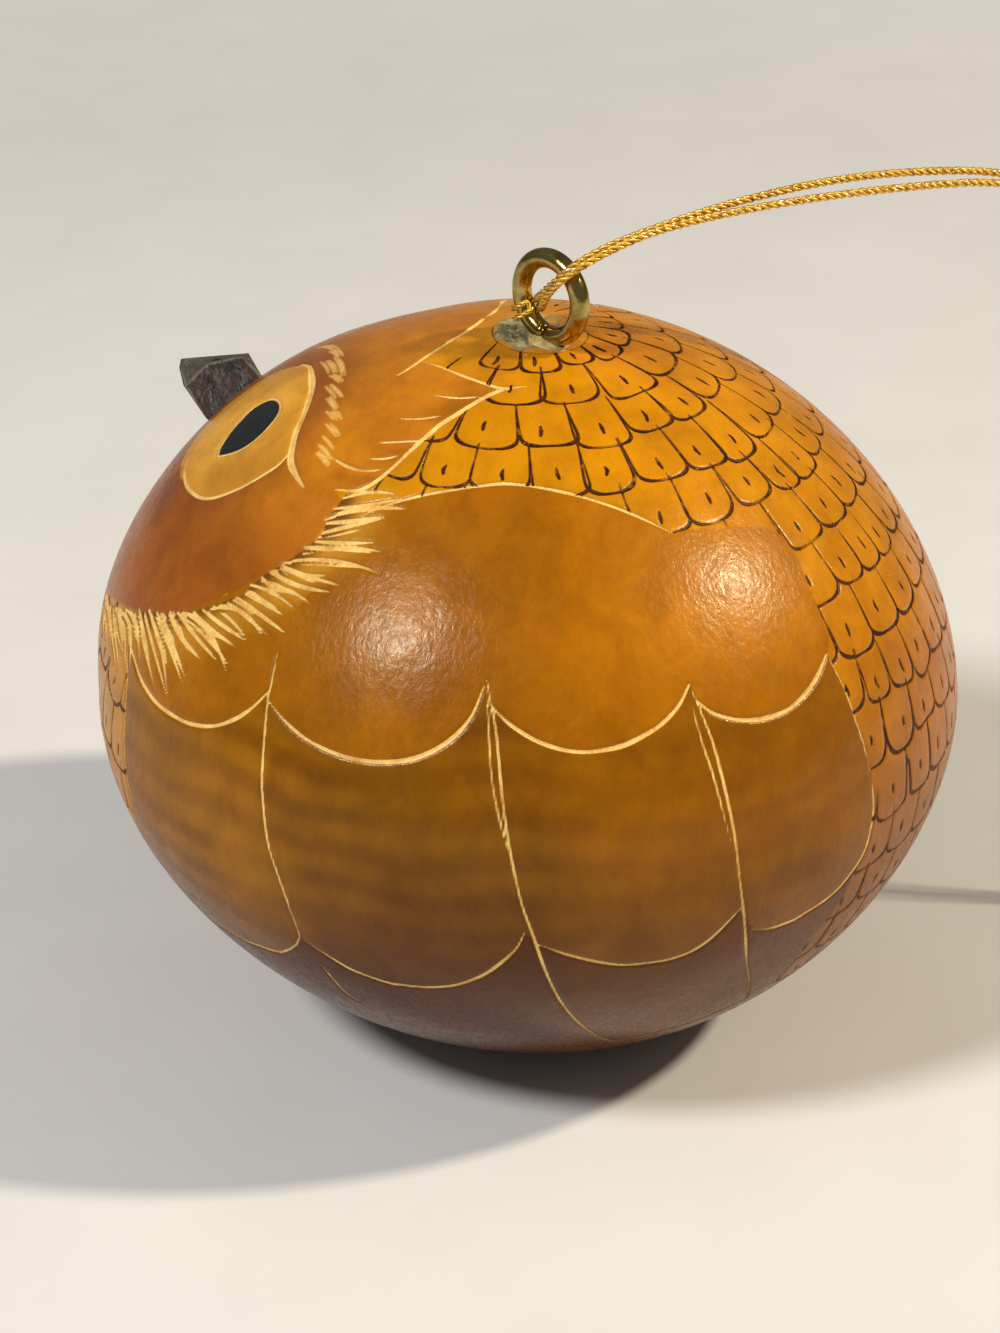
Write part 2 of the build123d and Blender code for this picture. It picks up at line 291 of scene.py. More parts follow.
UPPER_NEAR_RING = [
    (-1.311, -0.334, 0.013), (-0.40, 0.25, 0.70), (0.75, 1.25, 1.05), (2.10, 2.40, 1.20),
]
LOWER_NEAR_RING = [
    (-1.055, -1.118, -0.147), (0.00, -0.35, 0.85), (1.25, 1.05, 1.60), (2.65, 2.40, 1.75),
]
UPPER_AWAY = [
    (0.82, 3.60, 3.10), (3.90, 4.95, 3.10), (7.60, 5.80, 2.80), (14.50, 7.25, 2.55),
    (25.50, 8.30, 2.10), (38.70, 7.30, 2.00), (46.00, 3.50, 2.00), (51.50, -4.00, 2.00),
    (54.30, -14.00, 2.00), (56.00, -26.00, 2.00), (56.50, -38.00, 2.00), (57.20, -50.00, 2.00),
    (59.00, -58.50, 2.00), (62.00, -62.20, 2.05), (64.20, -63.00, 2.14), (66.80, -63.00, 2.14),
    (69.00, -63.72, 1.75), (71.10, -64.16, 1.15),
]
LOWER_AWAY = [
    (0.82, 3.60, 3.90), (3.90, 4.95, 3.90), (7.60, 5.95, 3.60), (14.50, 6.75, 3.30),
    (25.50, 7.15, 2.95), (38.70, 6.75, 2.80), (45.80, 3.20, 2.80), (51.70, -3.70, 2.80),
    (54.20, -14.00, 3.00), (55.80, -26.00, 3.20), (56.20, -38.00, 3.30), (56.90, -50.00, 3.20),
    (58.80, -58.50, 3.00), (61.90, -62.20, 2.95), (64.20, -63.00, 2.86), (66.80, -63.00, 2.86),
    (68.90, -63.75, 3.30), (70.70, -64.16, 3.95),
]


def smooth_line(points, name):
    """Points along a NURBS spline whose control points are given, in mm."""
    curve = bpy.data.curves.new(name, "CURVE")
    curve.dimensions = "3D"
    curve.resolution_u = 20
    spline = curve.splines.new("NURBS")
    spline.points.add(len(points) - 1)
    for place, point in zip(spline.points, points):
        place.co = (*(np.asarray(point) * MM), 1)
    spline.order_u = 3
    spline.use_endpoint_u = True
    holder = put(name, curve)
    mesh = bpy.data.meshes.new_from_object(holder)
    line = np.array([v.co for v in mesh.vertices]) / MM
    bpy.data.objects.remove(holder)
    bpy.data.curves.remove(curve)
    bpy.data.meshes.remove(mesh)
    return line


def walk(line, step):
    """The same line with even steps, and the distance along it."""
    far = np.concatenate([[0], np.cumsum(np.linalg.norm(np.diff(line, axis=0), axis=1))])
    count = max(4, int(round(far[-1] / step)))
    here = np.linspace(0, far[-1], count + 1)
    return np.stack([np.interp(here, far, line[:, i]) for i in range(3)], axis=1), here


def frames(line):
    """Two directions across the line at each point, without twist."""
    ahead = np.gradient(line, axis=0)
    ahead /= np.linalg.norm(ahead, axis=1)[:, None]
    side = np.cross(ahead[0], (0.3, 0.2, 1))
    sides = []
    for along in ahead:
        side = side - along * side.dot(along)
        side /= np.linalg.norm(side)
        sides.append(side.copy())
    sides = np.array(sides)
    return sides, np.cross(ahead, sides)


PLIES = 3
PLY_RADIUS = 0.157
PLY_OFFSET = 0.187
PLY_PITCH = 2.1
PLY_SIDES = 8
PLY_SWELL = 0.07
ROPE_STEP = 0.14


def rope_mesh(name, line, body, start=0.0, pressed=1.0):
    """Twisted plies along a line in mm.

    start is how far along the cord it begins, and pressed is the share of its thickness that is left.
    """
    line, here = walk(line, ROPE_STEP)
    side, other = frames(line)
    points, faces = [], []
    for ply in range(PLIES):
        phase = 2 * math.pi * (ply / PLIES + (here + start) / PLY_PITCH)
        swell = 1 + PLY_SWELL * np.sin((here + start) * 3.1 + ply * 2.2)
        away = np.cos(phase)[:, None] * side + np.sin(phase)[:, None] * other
        centre = line + pressed * PLY_OFFSET * away
        ahead = np.gradient(centre, axis=0)
        ahead /= np.linalg.norm(ahead, axis=1)[:, None]
        out = centre - line
        out -= ahead * (out * ahead).sum(1)[:, None]
        out /= np.linalg.norm(out, axis=1)[:, None]
        across = np.cross(ahead, out)
        base = len(points)
        for row in range(len(centre)):
            reach = pressed * PLY_RADIUS * swell[row]
            for turn in range(PLY_SIDES):
                angle = 2 * math.pi * turn / PLY_SIDES
                spoke = math.cos(angle) * out[row] + math.sin(angle) * across[row]
                points.append(centre[row] + reach * spoke)
        faces += tube_faces(len(centre), PLY_SIDES, base)
        faces.append(end_face(base, PLY_SIDES)[::-1])
        faces.append(end_face(len(points) - PLY_SIDES, PLY_SIDES))
    return add_mesh(name, points, faces, body), line, here[-1]


def gold_thread():
    s = Shader("gold_thread")
    fine = s.noise(5200, 2, 0.6)
    glint = s.noise(2600, 1, 0.4)
    tone = s.mix(s.spread(fine, 0.35, 0.65), rgb(204, 146, 34), rgb(248, 208, 96))
    tone = s.mix(s.spread(glint, 0.60, 0.72), tone, rgb(255, 244, 206))
    tone = s.mix(s.patches(1500, 2, 0.5, 0.60, 0.75), tone, rgb(150, 96, 30))
    s.set("Base Color", tone)
    s.set("Metallic", s.spread(glint, 0.40, 0.62, 0.45, 1.0))
    s.set("Roughness", s.spread(fine, 0.3, 0.7, 0.24, 0.46))
    s.set("Normal", s.bump(s.noise(9000, 2, 0.6), 0.00006, 0.7))
    return s


def split_at(line, along):
    """Index of the first point at that distance along the loop's heading."""
    reach = (line - RING_CENTRE) @ direction(LOOP_HEADING)
    return int(np.argmax(reach > along))


HITCH_PRESSED = 0.66


def make_hitch(thread):
    """Two wraps round the wire, joined by a bight."""
    route = [wrap_point(1, turn) for turn in range(WRAP_FIRST, WRAP_LAST - 1, -WRAP_STEP)]
    route += [wrap_point(-1, turn) for turn in range(WRAP_LAST, WRAP_FIRST + 1, WRAP_STEP)]
    hitch, _, _ = rope_mesh("hitch", smooth_line(route, "hitch_route"), "root", 0.0, HITCH_PRESSED)
    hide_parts("cord_hitch")
    dress(hitch, thread)
    return hitch


# The knot winds round the strands between these two points of both routes.
KNOT_FROM = -4
KNOT_TO = -3
KNOT_POINTS = 38
KNOT_TURN = 30
KNOT_START = -60
KNOT_LONG = 1.35
KNOT_SWAY = 0.12
KNOT_REACH = 1.12
KNOT_END_REACH = 0.95


def between_strands(place):
    """Middle between the two strands at a point of both routes."""
    return 0.5 * (loop_point(*UPPER_AWAY[place]) + loop_point(*LOWER_AWAY[place]))


def make_knot(thread):
    begin, end = between_strands(KNOT_FROM), between_strands(KNOT_TO)
    middle, axis = (begin + end) / 2, (end - begin) / np.linalg.norm(end - begin)
    upright = np.array([0, 0, 1])
    level = np.cross(axis, upright)
    route = []
    for step in range(KNOT_POINTS):
        turn = math.radians(step * KNOT_TURN + KNOT_START)
        shift = (step / (KNOT_POINTS - 1) - 0.5) * KNOT_LONG + KNOT_SWAY * math.sin(turn * 0.5)
        reach = KNOT_REACH if 1 < step < KNOT_POINTS - 2 else KNOT_END_REACH
        route.append(middle + axis * shift + reach * (math.cos(turn) * level + math.sin(turn) * upright))
    knot, _, _ = rope_mesh("knot", smooth_line(route, "knot_route"), "loop_end")
    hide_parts("cord_knot")
    dress(knot, thread)
    return knot


# Where each strand is cut in two, and two points at the loop's folds, which are worked out but not used.
LOOP_CUT = 33
UNFOLD_START = (37.5, 7.3, 2.4)
UNFOLD_END = (52.5, -9, 2.4)


def make_cords():
    thread = gold_thread()
    hitch = make_hitch(thread)
    lift = 0.5 * (loop_point(*UPPER_AWAY[0]) + loop_point(*UPPER_AWAY[1]))
    for name, side, near_ring, away in (
        ("upper", 1, UPPER_NEAR_RING, UPPER_AWAY),
        ("lower", -1, LOWER_NEAR_RING, LOWER_AWAY),
    ):
        route = [wrap_point(side, WRAP_FIRST)]
        route += [ring_point(*point) for point in near_ring]
        route += [loop_point(*point) for point in away]
        line = smooth_line(route, f"{name}_route")
        cut = split_at(line, LOOP_CUT)
        near, near_line, near_long = rope_mesh(f"near_{name}", line[: cut + 1], None)
        far, far_line, far_long = rope_mesh(f"far_{name}", line[cut:], None, near_long)
        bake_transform(near)
        loop_point(*UNFOLD_START) * MM
        loop_point(*UNFOLD_END) * MM
        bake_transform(far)
        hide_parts(f"cord_lead_{name}", f"cord_near_{name}")
        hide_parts(f"cord_far_{name}")
        dress(near, thread)
        dress(far, thread)
    knot = make_knot(thread)


make_cords()


# Gourd: places on its surface.
def step_up(value, low, high):
    part = np.clip((value - low) / (high - low), 0, 1)
    return part * part * (3 - 2 * part)


def outward(points):
    """Unit normals of the plain outline at points on or near it."""
    rise = points[..., 2] - WIDEST_HEIGHT
    power = np.where(rise > 0, CROWN_POWER, BELLY_POWER)
    reach = np.where(rise > 0, CROWN_RISE, BELLY_DROP)
    radius = np.maximum(np.hypot(points[..., 0], points[..., 1]), 1e-6)
    level = (radius / BODY_RADIUS) ** (power - 1) / BODY_RADIUS
    upward = np.sign(rise) * (np.abs(rise) / reach) ** (power - 1) / reach
    normal = np.stack([points[..., 0] / radius * level, points[..., 1] / radius * level, upward], axis=-1)
    return normal / np.linalg.norm(normal, axis=-1)[..., None]


def unevenness(points):
    """Shift from the plain outline to the real one: a fuller face and a lower part that leans."""
    normal = outward(points)
    full = FACE_BULGE * step_up(normal @ BULGE_TOWARDS, BULGE_EDGE, BULGE_CORE)
    low = np.clip((WIDEST_HEIGHT - points[..., 2]) / BELLY_DROP, 0, 1)
    return normal * full[..., None] + (LEAN * low**2)[..., None] * RIGHT


def unlean(points):
    return points - unevenness(points)


def lean(points):
    return points + unevenness(points)


def depth_inside(points):
    """Over 0 inside the gourd's outline, 0 on it."""
    points = unlean(points)
    radius = np.hypot(points[..., 0], points[..., 1])
    rise = points[..., 2] - WIDEST_HEIGHT
    above = (radius / BODY_RADIUS) ** CROWN_POWER + (np.clip(rise, 0, None) / CROWN_RISE) ** CROWN_POWER
    below = (radius / BODY_RADIUS) ** BELLY_POWER + (np.clip(-rise, 0, None) / BELLY_DROP) ** BELLY_POWER
    return 1 - np.where(rise > 0, above, below)


# Distances from the camera between which a ray is searched for the gourd, and the steps between them.
RAY_RANGE = (225, 335)
RAY_STEPS = 441


def cast(pixels):
    """Points of the gourd, in mm and before its lean, under places of the photograph."""
    pixels = np.asarray(pixels, float)
    ray = (
        -BACK
        + ((pixels[:, 0] - PHOTO_WIDE / 2) / FOCAL)[:, None] * RIGHT
        - ((pixels[:, 1] - PHOTO_HIGH / 2) / FOCAL)[:, None] * UP
    )
    far = np.linspace(*RAY_RANGE, RAY_STEPS)
    points = EYE_POINT + far[None, :, None] * ray[:, None, :]
    inside = depth_inside(points)
    hit = np.argmax(inside > 0, axis=1)
    missed = inside.max(axis=1) <= 0
    hit[missed] = np.argmax(inside, axis=1)[missed]
    low, high = far[np.maximum(hit - 1, 0)], far[hit]
    for _ in range(20):
        middle = (low + high) / 2
        reached = depth_inside(EYE_POINT + middle[:, None] * ray) > 0
        high = np.where(reached, middle, high)
        low = np.where(reached, low, middle)
    high[missed] = far[hit[missed]]
    return unlean(EYE_POINT + high[:, None] * ray)


HALF_STEPS = 3000


def outline(turn, radius, rise, power):
    """Radius of the outline and its height from the widest level, at an angle from 0 to 90 degrees."""
    return radius * np.cos(turn) ** (2 / power), rise * np.sin(turn) ** (2 / power)


def meridian():
    """Points down the outline: distance from the crown's top, radius and height."""
    radius, rise = outline(np.linspace(math.pi / 2, 0, HALF_STEPS), BODY_RADIUS, CROWN_RISE, CROWN_POWER)
    upper = np.stack([radius, WIDEST_HEIGHT + rise], axis=1)
    upper[0] = (0, WIDEST_HEIGHT + CROWN_RISE)
    last = math.asin((WIDEST_HEIGHT / BELLY_DROP) ** (BELLY_POWER / 2))
    radius, drop = outline(np.linspace(0, last, HALF_STEPS)[1:], BODY_RADIUS, BELLY_DROP, BELLY_POWER)
    line = np.concatenate([upper, np.stack([radius, WIDEST_HEIGHT - drop], axis=1)])
    far = np.concatenate([[0], np.cumsum(np.linalg.norm(np.diff(line, axis=0), axis=1))])
    return far, line[:, 0], line[:, 1]


FAR, FAR_RADIUS, FAR_HEIGHT = meridian()
WIDEST_FAR = float(FAR[HALF_STEPS - 1])
TOTAL_FAR = float(FAR[-1])


def radius_at(far):
    return np.interp(far, FAR, FAR_RADIUS)


def height_at(far):
    return np.interp(far, FAR, FAR_HEIGHT)


def on_surface(far, lon):
    """Point of the gourd at a distance from the crown's top and an angle from its front."""
    radius = radius_at(far)
    return np.stack([radius * np.sin(lon), -radius * np.cos(lon), height_at(far)], axis=-1)


def far_of(points):
    """Distance from the crown's top of points on the surface."""
    points = np.asarray(points)
    radius = np.hypot(points[..., 0], points[..., 1])
    upper = np.interp(radius, FAR_RADIUS[:HALF_STEPS], FAR[:HALF_STEPS])
    height = points[..., 2]
    lower = np.interp(-height, -FAR_HEIGHT[HALF_STEPS - 1 :], FAR[HALF_STEPS - 1 :])
    return np.where(height > WIDEST_HEIGHT, upper, lower)


def lon_of(points):
    points = np.asarray(points)
    return np.arctan2(points[..., 0], -points[..., 1])


COLUMNS = 1140
ROWS = 520
lon_axis = (np.arange(COLUMNS) + 0.5) * 2 * np.pi / COLUMNS - np.pi
towards = np.stack([np.sin(lon_axis), -np.cos(lon_axis)], axis=1)
off = towards @ STEM
rim_radius = off + np.sqrt(off**2 - STEM @ STEM + STEM_RADIUS**2)
rim_far = np.interp(rim_radius, FAR_RADIUS[:HALF_STEPS], FAR[:HALF_STEPS])
share = np.linspace(0, 1, ROWS + 1)[:, None]
far_grid = rim_far[None, :] + (TOTAL_FAR - rim_far[None, :]) * share
lon_grid = np.broadcast_to(lon_axis[None, :], far_grid.shape)
grid = on_surface(far_grid, lon_grid)


# Least and greatest distance of the stem's hole from the crown's top, and the part with all its columns.
RIM_LEAST = 1.9
RIM_GREATEST = 6.6
CROWN_PART = 8
OUTSIDE = -9.0


def window(low_far, high_far, low_lon, high_lon):
    """Rows and columns of the grid that cover a patch."""
    top = max(0, int((low_far - RIM_GREATEST) / TOTAL_FAR * ROWS) - 2) if low_far > CROWN_PART else 0
    bottom = min(ROWS, int((high_far - RIM_LEAST) / (TOTAL_FAR - RIM_LEAST) * ROWS) + 3)
    first = int(np.floor((low_lon + np.pi) / (2 * np.pi) * COLUMNS)) - 1
    last = int(np.ceil((high_lon + np.pi) / (2 * np.pi) * COLUMNS)) + 1
    if last - first >= COLUMNS:
        return slice(top, bottom + 1), np.arange(COLUMNS)
    return slice(top, bottom + 1), np.arange(first, last + 1) % COLUMNS


def draw(field, points, widths, margin):
    """Raises field to how far each grid point lies inside a stroke of those half widths."""
    points = np.asarray(points, float)
    widths = np.broadcast_to(np.asarray(widths, float), len(points))
    fars, lons = far_of(points), np.unwrap(lon_of(points))
    for index in range(len(points) - 1):
        reach = max(widths[index : index + 2]) + margin
        low_far, high_far = sorted(fars[index : index + 2])
        edges = np.clip([low_far - reach, high_far + reach], 0.5, TOTAL_FAR)
        turn = reach / max(1.5, radius_at(edges).min())
        low_lon, high_lon = sorted(lons[index : index + 2])
        rows, columns = window(low_far - reach, high_far + reach, low_lon - turn, high_lon + turn)
        patch = grid[rows][:, columns]
        begin, run = points[index], points[index + 1] - points[index]
        length = run @ run
        if length < 1e-9:
            continue
        along = np.clip(((patch - begin) @ run) / length, 0, 1)
        gap = np.linalg.norm(patch - begin - along[..., None] * run, axis=2)
        inside = widths[index] + (widths[index + 1] - widths[index]) * along - gap
        block = field[rows]
        block[:, columns] = np.maximum(block[:, columns], inside)


def curve_through(points, step):
    """Smooth line through the points, in short steps."""
    points = np.asarray(points, float)
    padded = np.concatenate([[2 * points[0] - points[1]], points, [2 * points[-1] - points[-2]]])
    out = []
    for index in range(1, len(padded) - 2):
        a, b, c, d = padded[index - 1 : index + 3]
        count = max(1, int(np.linalg.norm(c - b) / step))
        t = np.arange(count)[:, None] / count
        out.append(0.5 * (
            2 * b + (c - a) * t + (2 * a - 5 * b + 4 * c - d) * t**2 + (3 * b - 3 * c + d - a) * t**3
        ))
    out.append(points[-1:])
    return np.concatenate(out)


FAR_WING_FROM = math.radians(70)
FAR_WING_SHARE = 0.8


def flip(points):
    """The same points on the owl's right side, whose wing reaches less far back."""
    points = np.asarray(points, float)
    lon, radius = lon_of(points), np.hypot(points[..., 0], points[..., 1])
    past = np.maximum(np.abs(lon) - FAR_WING_FROM, 0)
    lon = -np.sign(lon) * (np.abs(lon) - (1 - FAR_WING_SHARE) * past)
    return np.stack([radius * np.sin(lon), -radius * np.cos(lon), points[..., 2]], axis=-1)


def wing_lon():
    """Each grid point's angle from the front, as it would be on the owl's left side."""
    lon = np.abs(lon_grid)
    past = np.maximum(lon - FAR_WING_FROM, 0)
    return np.where(lon_grid < 0, lon + past * (1 / FAR_WING_SHARE - 1), lon)


def both_sides(points):
    return ((1, points), (-1, flip(points)))


def lattice_noise(points, size, seed):
    """Smooth noise from -1 to 1 with features of a size in mm."""
    rng = np.random.default_rng(seed)
    table = rng.uniform(-1, 1, 4096)
    scaled = points / size
    cell = np.floor(scaled).astype(np.int64)
    part = scaled - cell
    part = part * part * (3 - 2 * part)
    total = 0
    for corner in range(8):
        bits = np.array([corner & 1, corner >> 1 & 1, corner >> 2 & 1])
        at = cell + bits
        mixed = (at[..., 0] * 73856093) ^ (at[..., 1] * 19349663) ^ (at[..., 2] * 83492791)
        weight = np.prod(np.where(bits, part, 1 - part), axis=-1)
        total = total + weight * table[mixed & 4095]
    return total


# Lines of the carving, as places of the photograph.
BROW_LINE = [
    (335, 489), (360, 489), (383, 475), (419, 442), (440, 424), (454, 415), (480, 399), (502, 389),
    (528, 385),
]
BROW_BACK = [(528, 385), (502, 387), (480, 381), (461, 374), (441, 366), (424, 361)]
CROWN_LINE = [(398, 374), (411, 366), (428, 354), (448, 341), (469, 328), (492, 313), (513, 300)]
SPIKES = [
    [(422, 440), (400, 441), (378, 442)],
    [(442, 415), (420, 418), (398, 418)],
    [(480, 396), (456, 397), (432, 394)],
    [(383, 469), (362, 470), (345, 465), (332, 457)],
    [(398, 455), (384, 458), (368, 458)],
]
LID_LINE = [
    (296, 367), (302, 364), (309, 366), (311, 376), (311, 389), (307, 403), (302, 417), (296, 430),
    (293, 440), (290, 460), (294, 472), (303, 487),
]
IRIS_LINE = [
    (187, 457), (184, 465), (183, 473), (185, 484), (190, 491), (197, 496), (205, 498), (214, 497),
    (223, 494), (238, 488), (253, 480), (266, 472), (279, 463), (289, 452),
]
BROW_STROKES = [
    [(319, 347), (328, 346), (336, 349)], [(329, 351), (334, 352), (338, 357)],
    [(335, 357), (340, 364), (343, 375)], [(332, 375), (337, 377), (342, 382)],
    [(328, 386), (333, 391), (339, 398)], [(327, 398), (331, 403), (335, 409)],
    [(328, 411), (332, 414), (335, 419)], [(326, 424), (331, 429), (336, 436)],
    [(321, 445), (327, 450), (333, 458)], [(316, 453), (322, 459), (327, 466)],
    [(325, 361), (330, 366), (333, 373)], [(324, 436), (329, 441), (333, 447)],
]
WING_TOP = [
    (362, 516), (380, 507), (417, 496), (454, 489), (482, 485), (510, 483), (558, 490), (602, 502),
    (639, 516), (676, 534),
]
SHOULDER = [
    (676, 534), (690, 530), (725, 527), (760, 527), (778, 533), (790, 545), (799, 560), (805, 575),
    (815, 600), (823, 620), (830, 640), (828, 654),
]
SCALLOPS = [
    [
        (128, 640), (131, 652), (135, 665), (140, 680), (151, 698), (165, 711), (187, 723), (212, 726),
        (236, 718), (253, 706), (267, 692),
    ],
    [
        (267, 700), (285, 722), (310, 742), (345, 757), (380, 762), (415, 758), (447, 742), (470, 718),
        (484, 686),
    ],
    [
        (490, 704), (507, 722), (531, 738), (556, 748), (581, 752), (604, 750), (625, 745), (645, 735),
        (662, 724), (679, 706), (690, 684),
    ],
    [
        (697, 700), (712, 712), (730, 718), (746, 720), (761, 719), (776, 715), (791, 708), (806, 694),
        (818, 677), (828, 653),
    ],
]
FEATHERS = [
    [
        (277, 650), (272, 676), (267, 700), (264, 732), (261, 778), (262, 800), (264, 824), (268, 848),
        (276, 873), (291, 915), (297, 931),
    ],
    [
        (487, 680), (491, 704), (496, 732), (501, 787), (505, 820), (511, 858), (521, 903), (533, 937),
        (545, 971), (558, 998), (571, 1016), (585, 1029), (600, 1038), (615, 1042),
    ],
    [
        (693, 691), (703, 715), (713, 741), (722, 774), (730, 809), (736, 842), (740, 877), (744, 910),
        (746, 936), (747, 961), (750, 985), (747, 998),
    ],
    [(828, 654), (845, 687), (853, 709), (861, 733), (867, 753), (871, 772)],
]
DOUBLES = [
    [(486, 692), (488, 718), (491, 773), (498, 815), (507, 850)],
    [(690, 694), (696, 718), (704, 746), (713, 773), (723, 810), (731, 842)],
]
BOTTOM_ARCS = [
    [
        (297, 931), (299, 938), (296, 945), (289, 950), (280, 953), (257, 946), (240, 939), (227, 931),
        (211, 921), (196, 909), (176, 893), (158, 872), (143, 848),
    ],
    [
        (305, 942), (325, 955), (340, 964), (355, 972), (386, 983), (404, 986), (423, 988), (440, 988),
        (456, 986), (472, 981), (487, 974), (508, 958), (518, 947), (524, 934),
    ],
    [
        (539, 946), (553, 951), (568, 956), (598, 963), (625, 966), (656, 963), (674, 959), (690, 953),
        (705, 944), (717, 934), (729, 922), (740, 910),
    ],
    [
        (871, 772), (874, 793), (874, 815), (870, 836), (866, 850), (859, 863), (849, 877), (838, 890),
        (825, 901), (811, 910), (795, 920), (777, 927), (765, 930), (754, 930),
    ],
]
LOW_LINES = [
    [(322, 967), (332, 979), (345, 993), (362, 1004)],
    [(615, 1042), (650, 1034), (690, 1023), (722, 1010), (748, 998)],
]
WING_FRONT = [
    (127, 640), (126, 660), (126, 683), (124, 710), (123, 737), (124, 758), (127, 782), (131, 804),
    (140, 835),
]
FRINGE_IN = [
    (113, 598), (128, 607), (144, 613), (163, 614), (182, 611), (203, 604), (223, 595), (241, 586),
    (259, 575), (292, 557), (307, 546), (320, 534), (338, 519), (341, 503), (335, 489),
]
FRINGE_GUIDES = [
    ((105, 603), (111, 660)), ((117, 609), (126, 673)), ((135, 612), (151, 676)), ((157, 614), (177, 688)),
    ((168, 614), (197, 675)), ((190, 612), (240, 659)), ((215, 605), (263, 644)), ((242, 594), (286, 624)),
    ((266, 573), (311, 591)), ((280, 565), (345, 580)), ((291, 558), (379, 563)), ((309, 546), (385, 548)),
    ((322, 535), (400, 527)), ((327, 521), (397, 513)), ((338, 504), (405, 497)), ((345, 494), (420, 489)),
]
PUPIL_EDGE = cast(curve_through([
    (217.2, 456), (218.8, 448.8), (224, 440), (231, 430), (240, 420), (250, 410), (262, 402), (272, 398.4),
    (278, 400.8), (279.6, 407.2), (276, 416), (268, 426), (258, 436), (248, 444), (238, 450),
    (228, 453.6), (217.2, 456),
], 2))
PUPIL_INSET = 0.10
IRIS = np.array([10.74, -20.42, 52.49])


def gap_to(centre):
    return np.linalg.norm(grid - centre, axis=2)


def map_place(points):
    """Flat map of the gourd seen from above, with true distances from the crown's top."""
    far, lon = far_of(points), lon_of(points)
    return np.stack([far * np.sin(lon), -far * np.cos(lon)], axis=-1)


MAP = np.stack([far_grid * np.sin(lon_grid), -far_grid * np.cos(lon_grid)], axis=-1)


def within(edge):
    """Grid points inside a closed line of surface points, on the flat map."""
    flat = map_place(np.asarray(edge))
    x, y = MAP[..., 0], MAP[..., 1]
    inside = np.zeros(x.shape, bool)
    for (ax, ay), (bx, by) in zip(flat, np.roll(flat, -1, axis=0)):
        if ay == by:
            continue
        crosses = (ay > y) != (by > y)
        inside ^= crosses & (x < (bx - ax) * (y - ay) / (by - ay) + ax)
    return inside


def lines_cast(group, step=5):
    return [cast(curve_through(line, step)) for line in group]


def wobble(points, amount, seed):
    """A hand's small unsteadiness."""
    shift = np.stack([lattice_noise(points, 4.0, seed + axis) for axis in range(3)], axis=-1)
    return points + amount * shift


# Scales: distances from the crown's top, and the width that one should have.
SCALES_TOP = 4.6
FIRST_ROW = 8.2
ROW_STEPS = (4.4, 4.6)
SCALE_WIDTHS = (3.9, 3.5)
FINE_POINTS = 34

# A scale this many times too wide is split, one this much too slim is left out, and the rest even out.
SPLIT_OVER = 1.30
JOIN_UNDER = 0.62
EVENING = 0.22

# How unevenly a hand sets the scales' sides and lower edges, and draws their lines.
SIDE_SHIFT = 0.12
EDGE_SHIFT = 0.22
LINE_SHIFT = 0.24
CORNER_LIMIT = 1.7


def scale_rows():
    """Places of the scales: rows of boundaries, each row's set between those above it."""
    rng = np.random.default_rng(7)
    rows = []
    bottom = FIRST_ROW
    bounds = np.linspace(0, 2 * np.pi, 15)[:-1] + 0.1
    while bottom < TOTAL_FAR - 1:
        wanted = SCALE_WIDTHS[0] if bottom < WIDEST_FAR else SCALE_WIDTHS[1]
        rows.append((bottom, np.sort(bounds)))
        bounds = np.sort(bounds)
        nxt = (bounds + np.roll(bounds, -1)) / 2
        nxt[-1] = (bounds[-1] + bounds[0] + 2 * np.pi) / 2
        new_radius = radius_at(bottom + 2.5)
        while True:
            nxt = np.sort(nxt % (2 * np.pi))
            gaps = np.diff(np.append(nxt, nxt[0] + 2 * np.pi)) * new_radius
            widest, slimmest = int(np.argmax(gaps)), int(np.argmin(gaps))
            if gaps[widest] > SPLIT_OVER * wanted:
                nxt = np.append(nxt, nxt[widest] + gaps[widest] / new_radius / 2)
            elif gaps[slimmest] < JOIN_UNDER * wanted:
                nxt = np.delete(nxt, slimmest)
            else:
                break
            for _ in range(3):
                nxt = np.sort(nxt % (2 * np.pi))
                gaps = np.diff(np.append(nxt, nxt[0] + 2 * np.pi))
                before = np.roll(gaps, 1)
                nxt = nxt + EVENING * (gaps - before)
        bounds = nxt + rng.normal(0, SIDE_SHIFT, len(nxt)) / new_radius
        bottom += ROW_STEPS[0] if bottom < 16 else ROW_STEPS[1]
    return rows


BARE_CROWN = math.radians(80)


def finer(values):
    return np.interp(np.linspace(0, 1, FINE_POINTS), np.linspace(0, 1, len(values)), values)


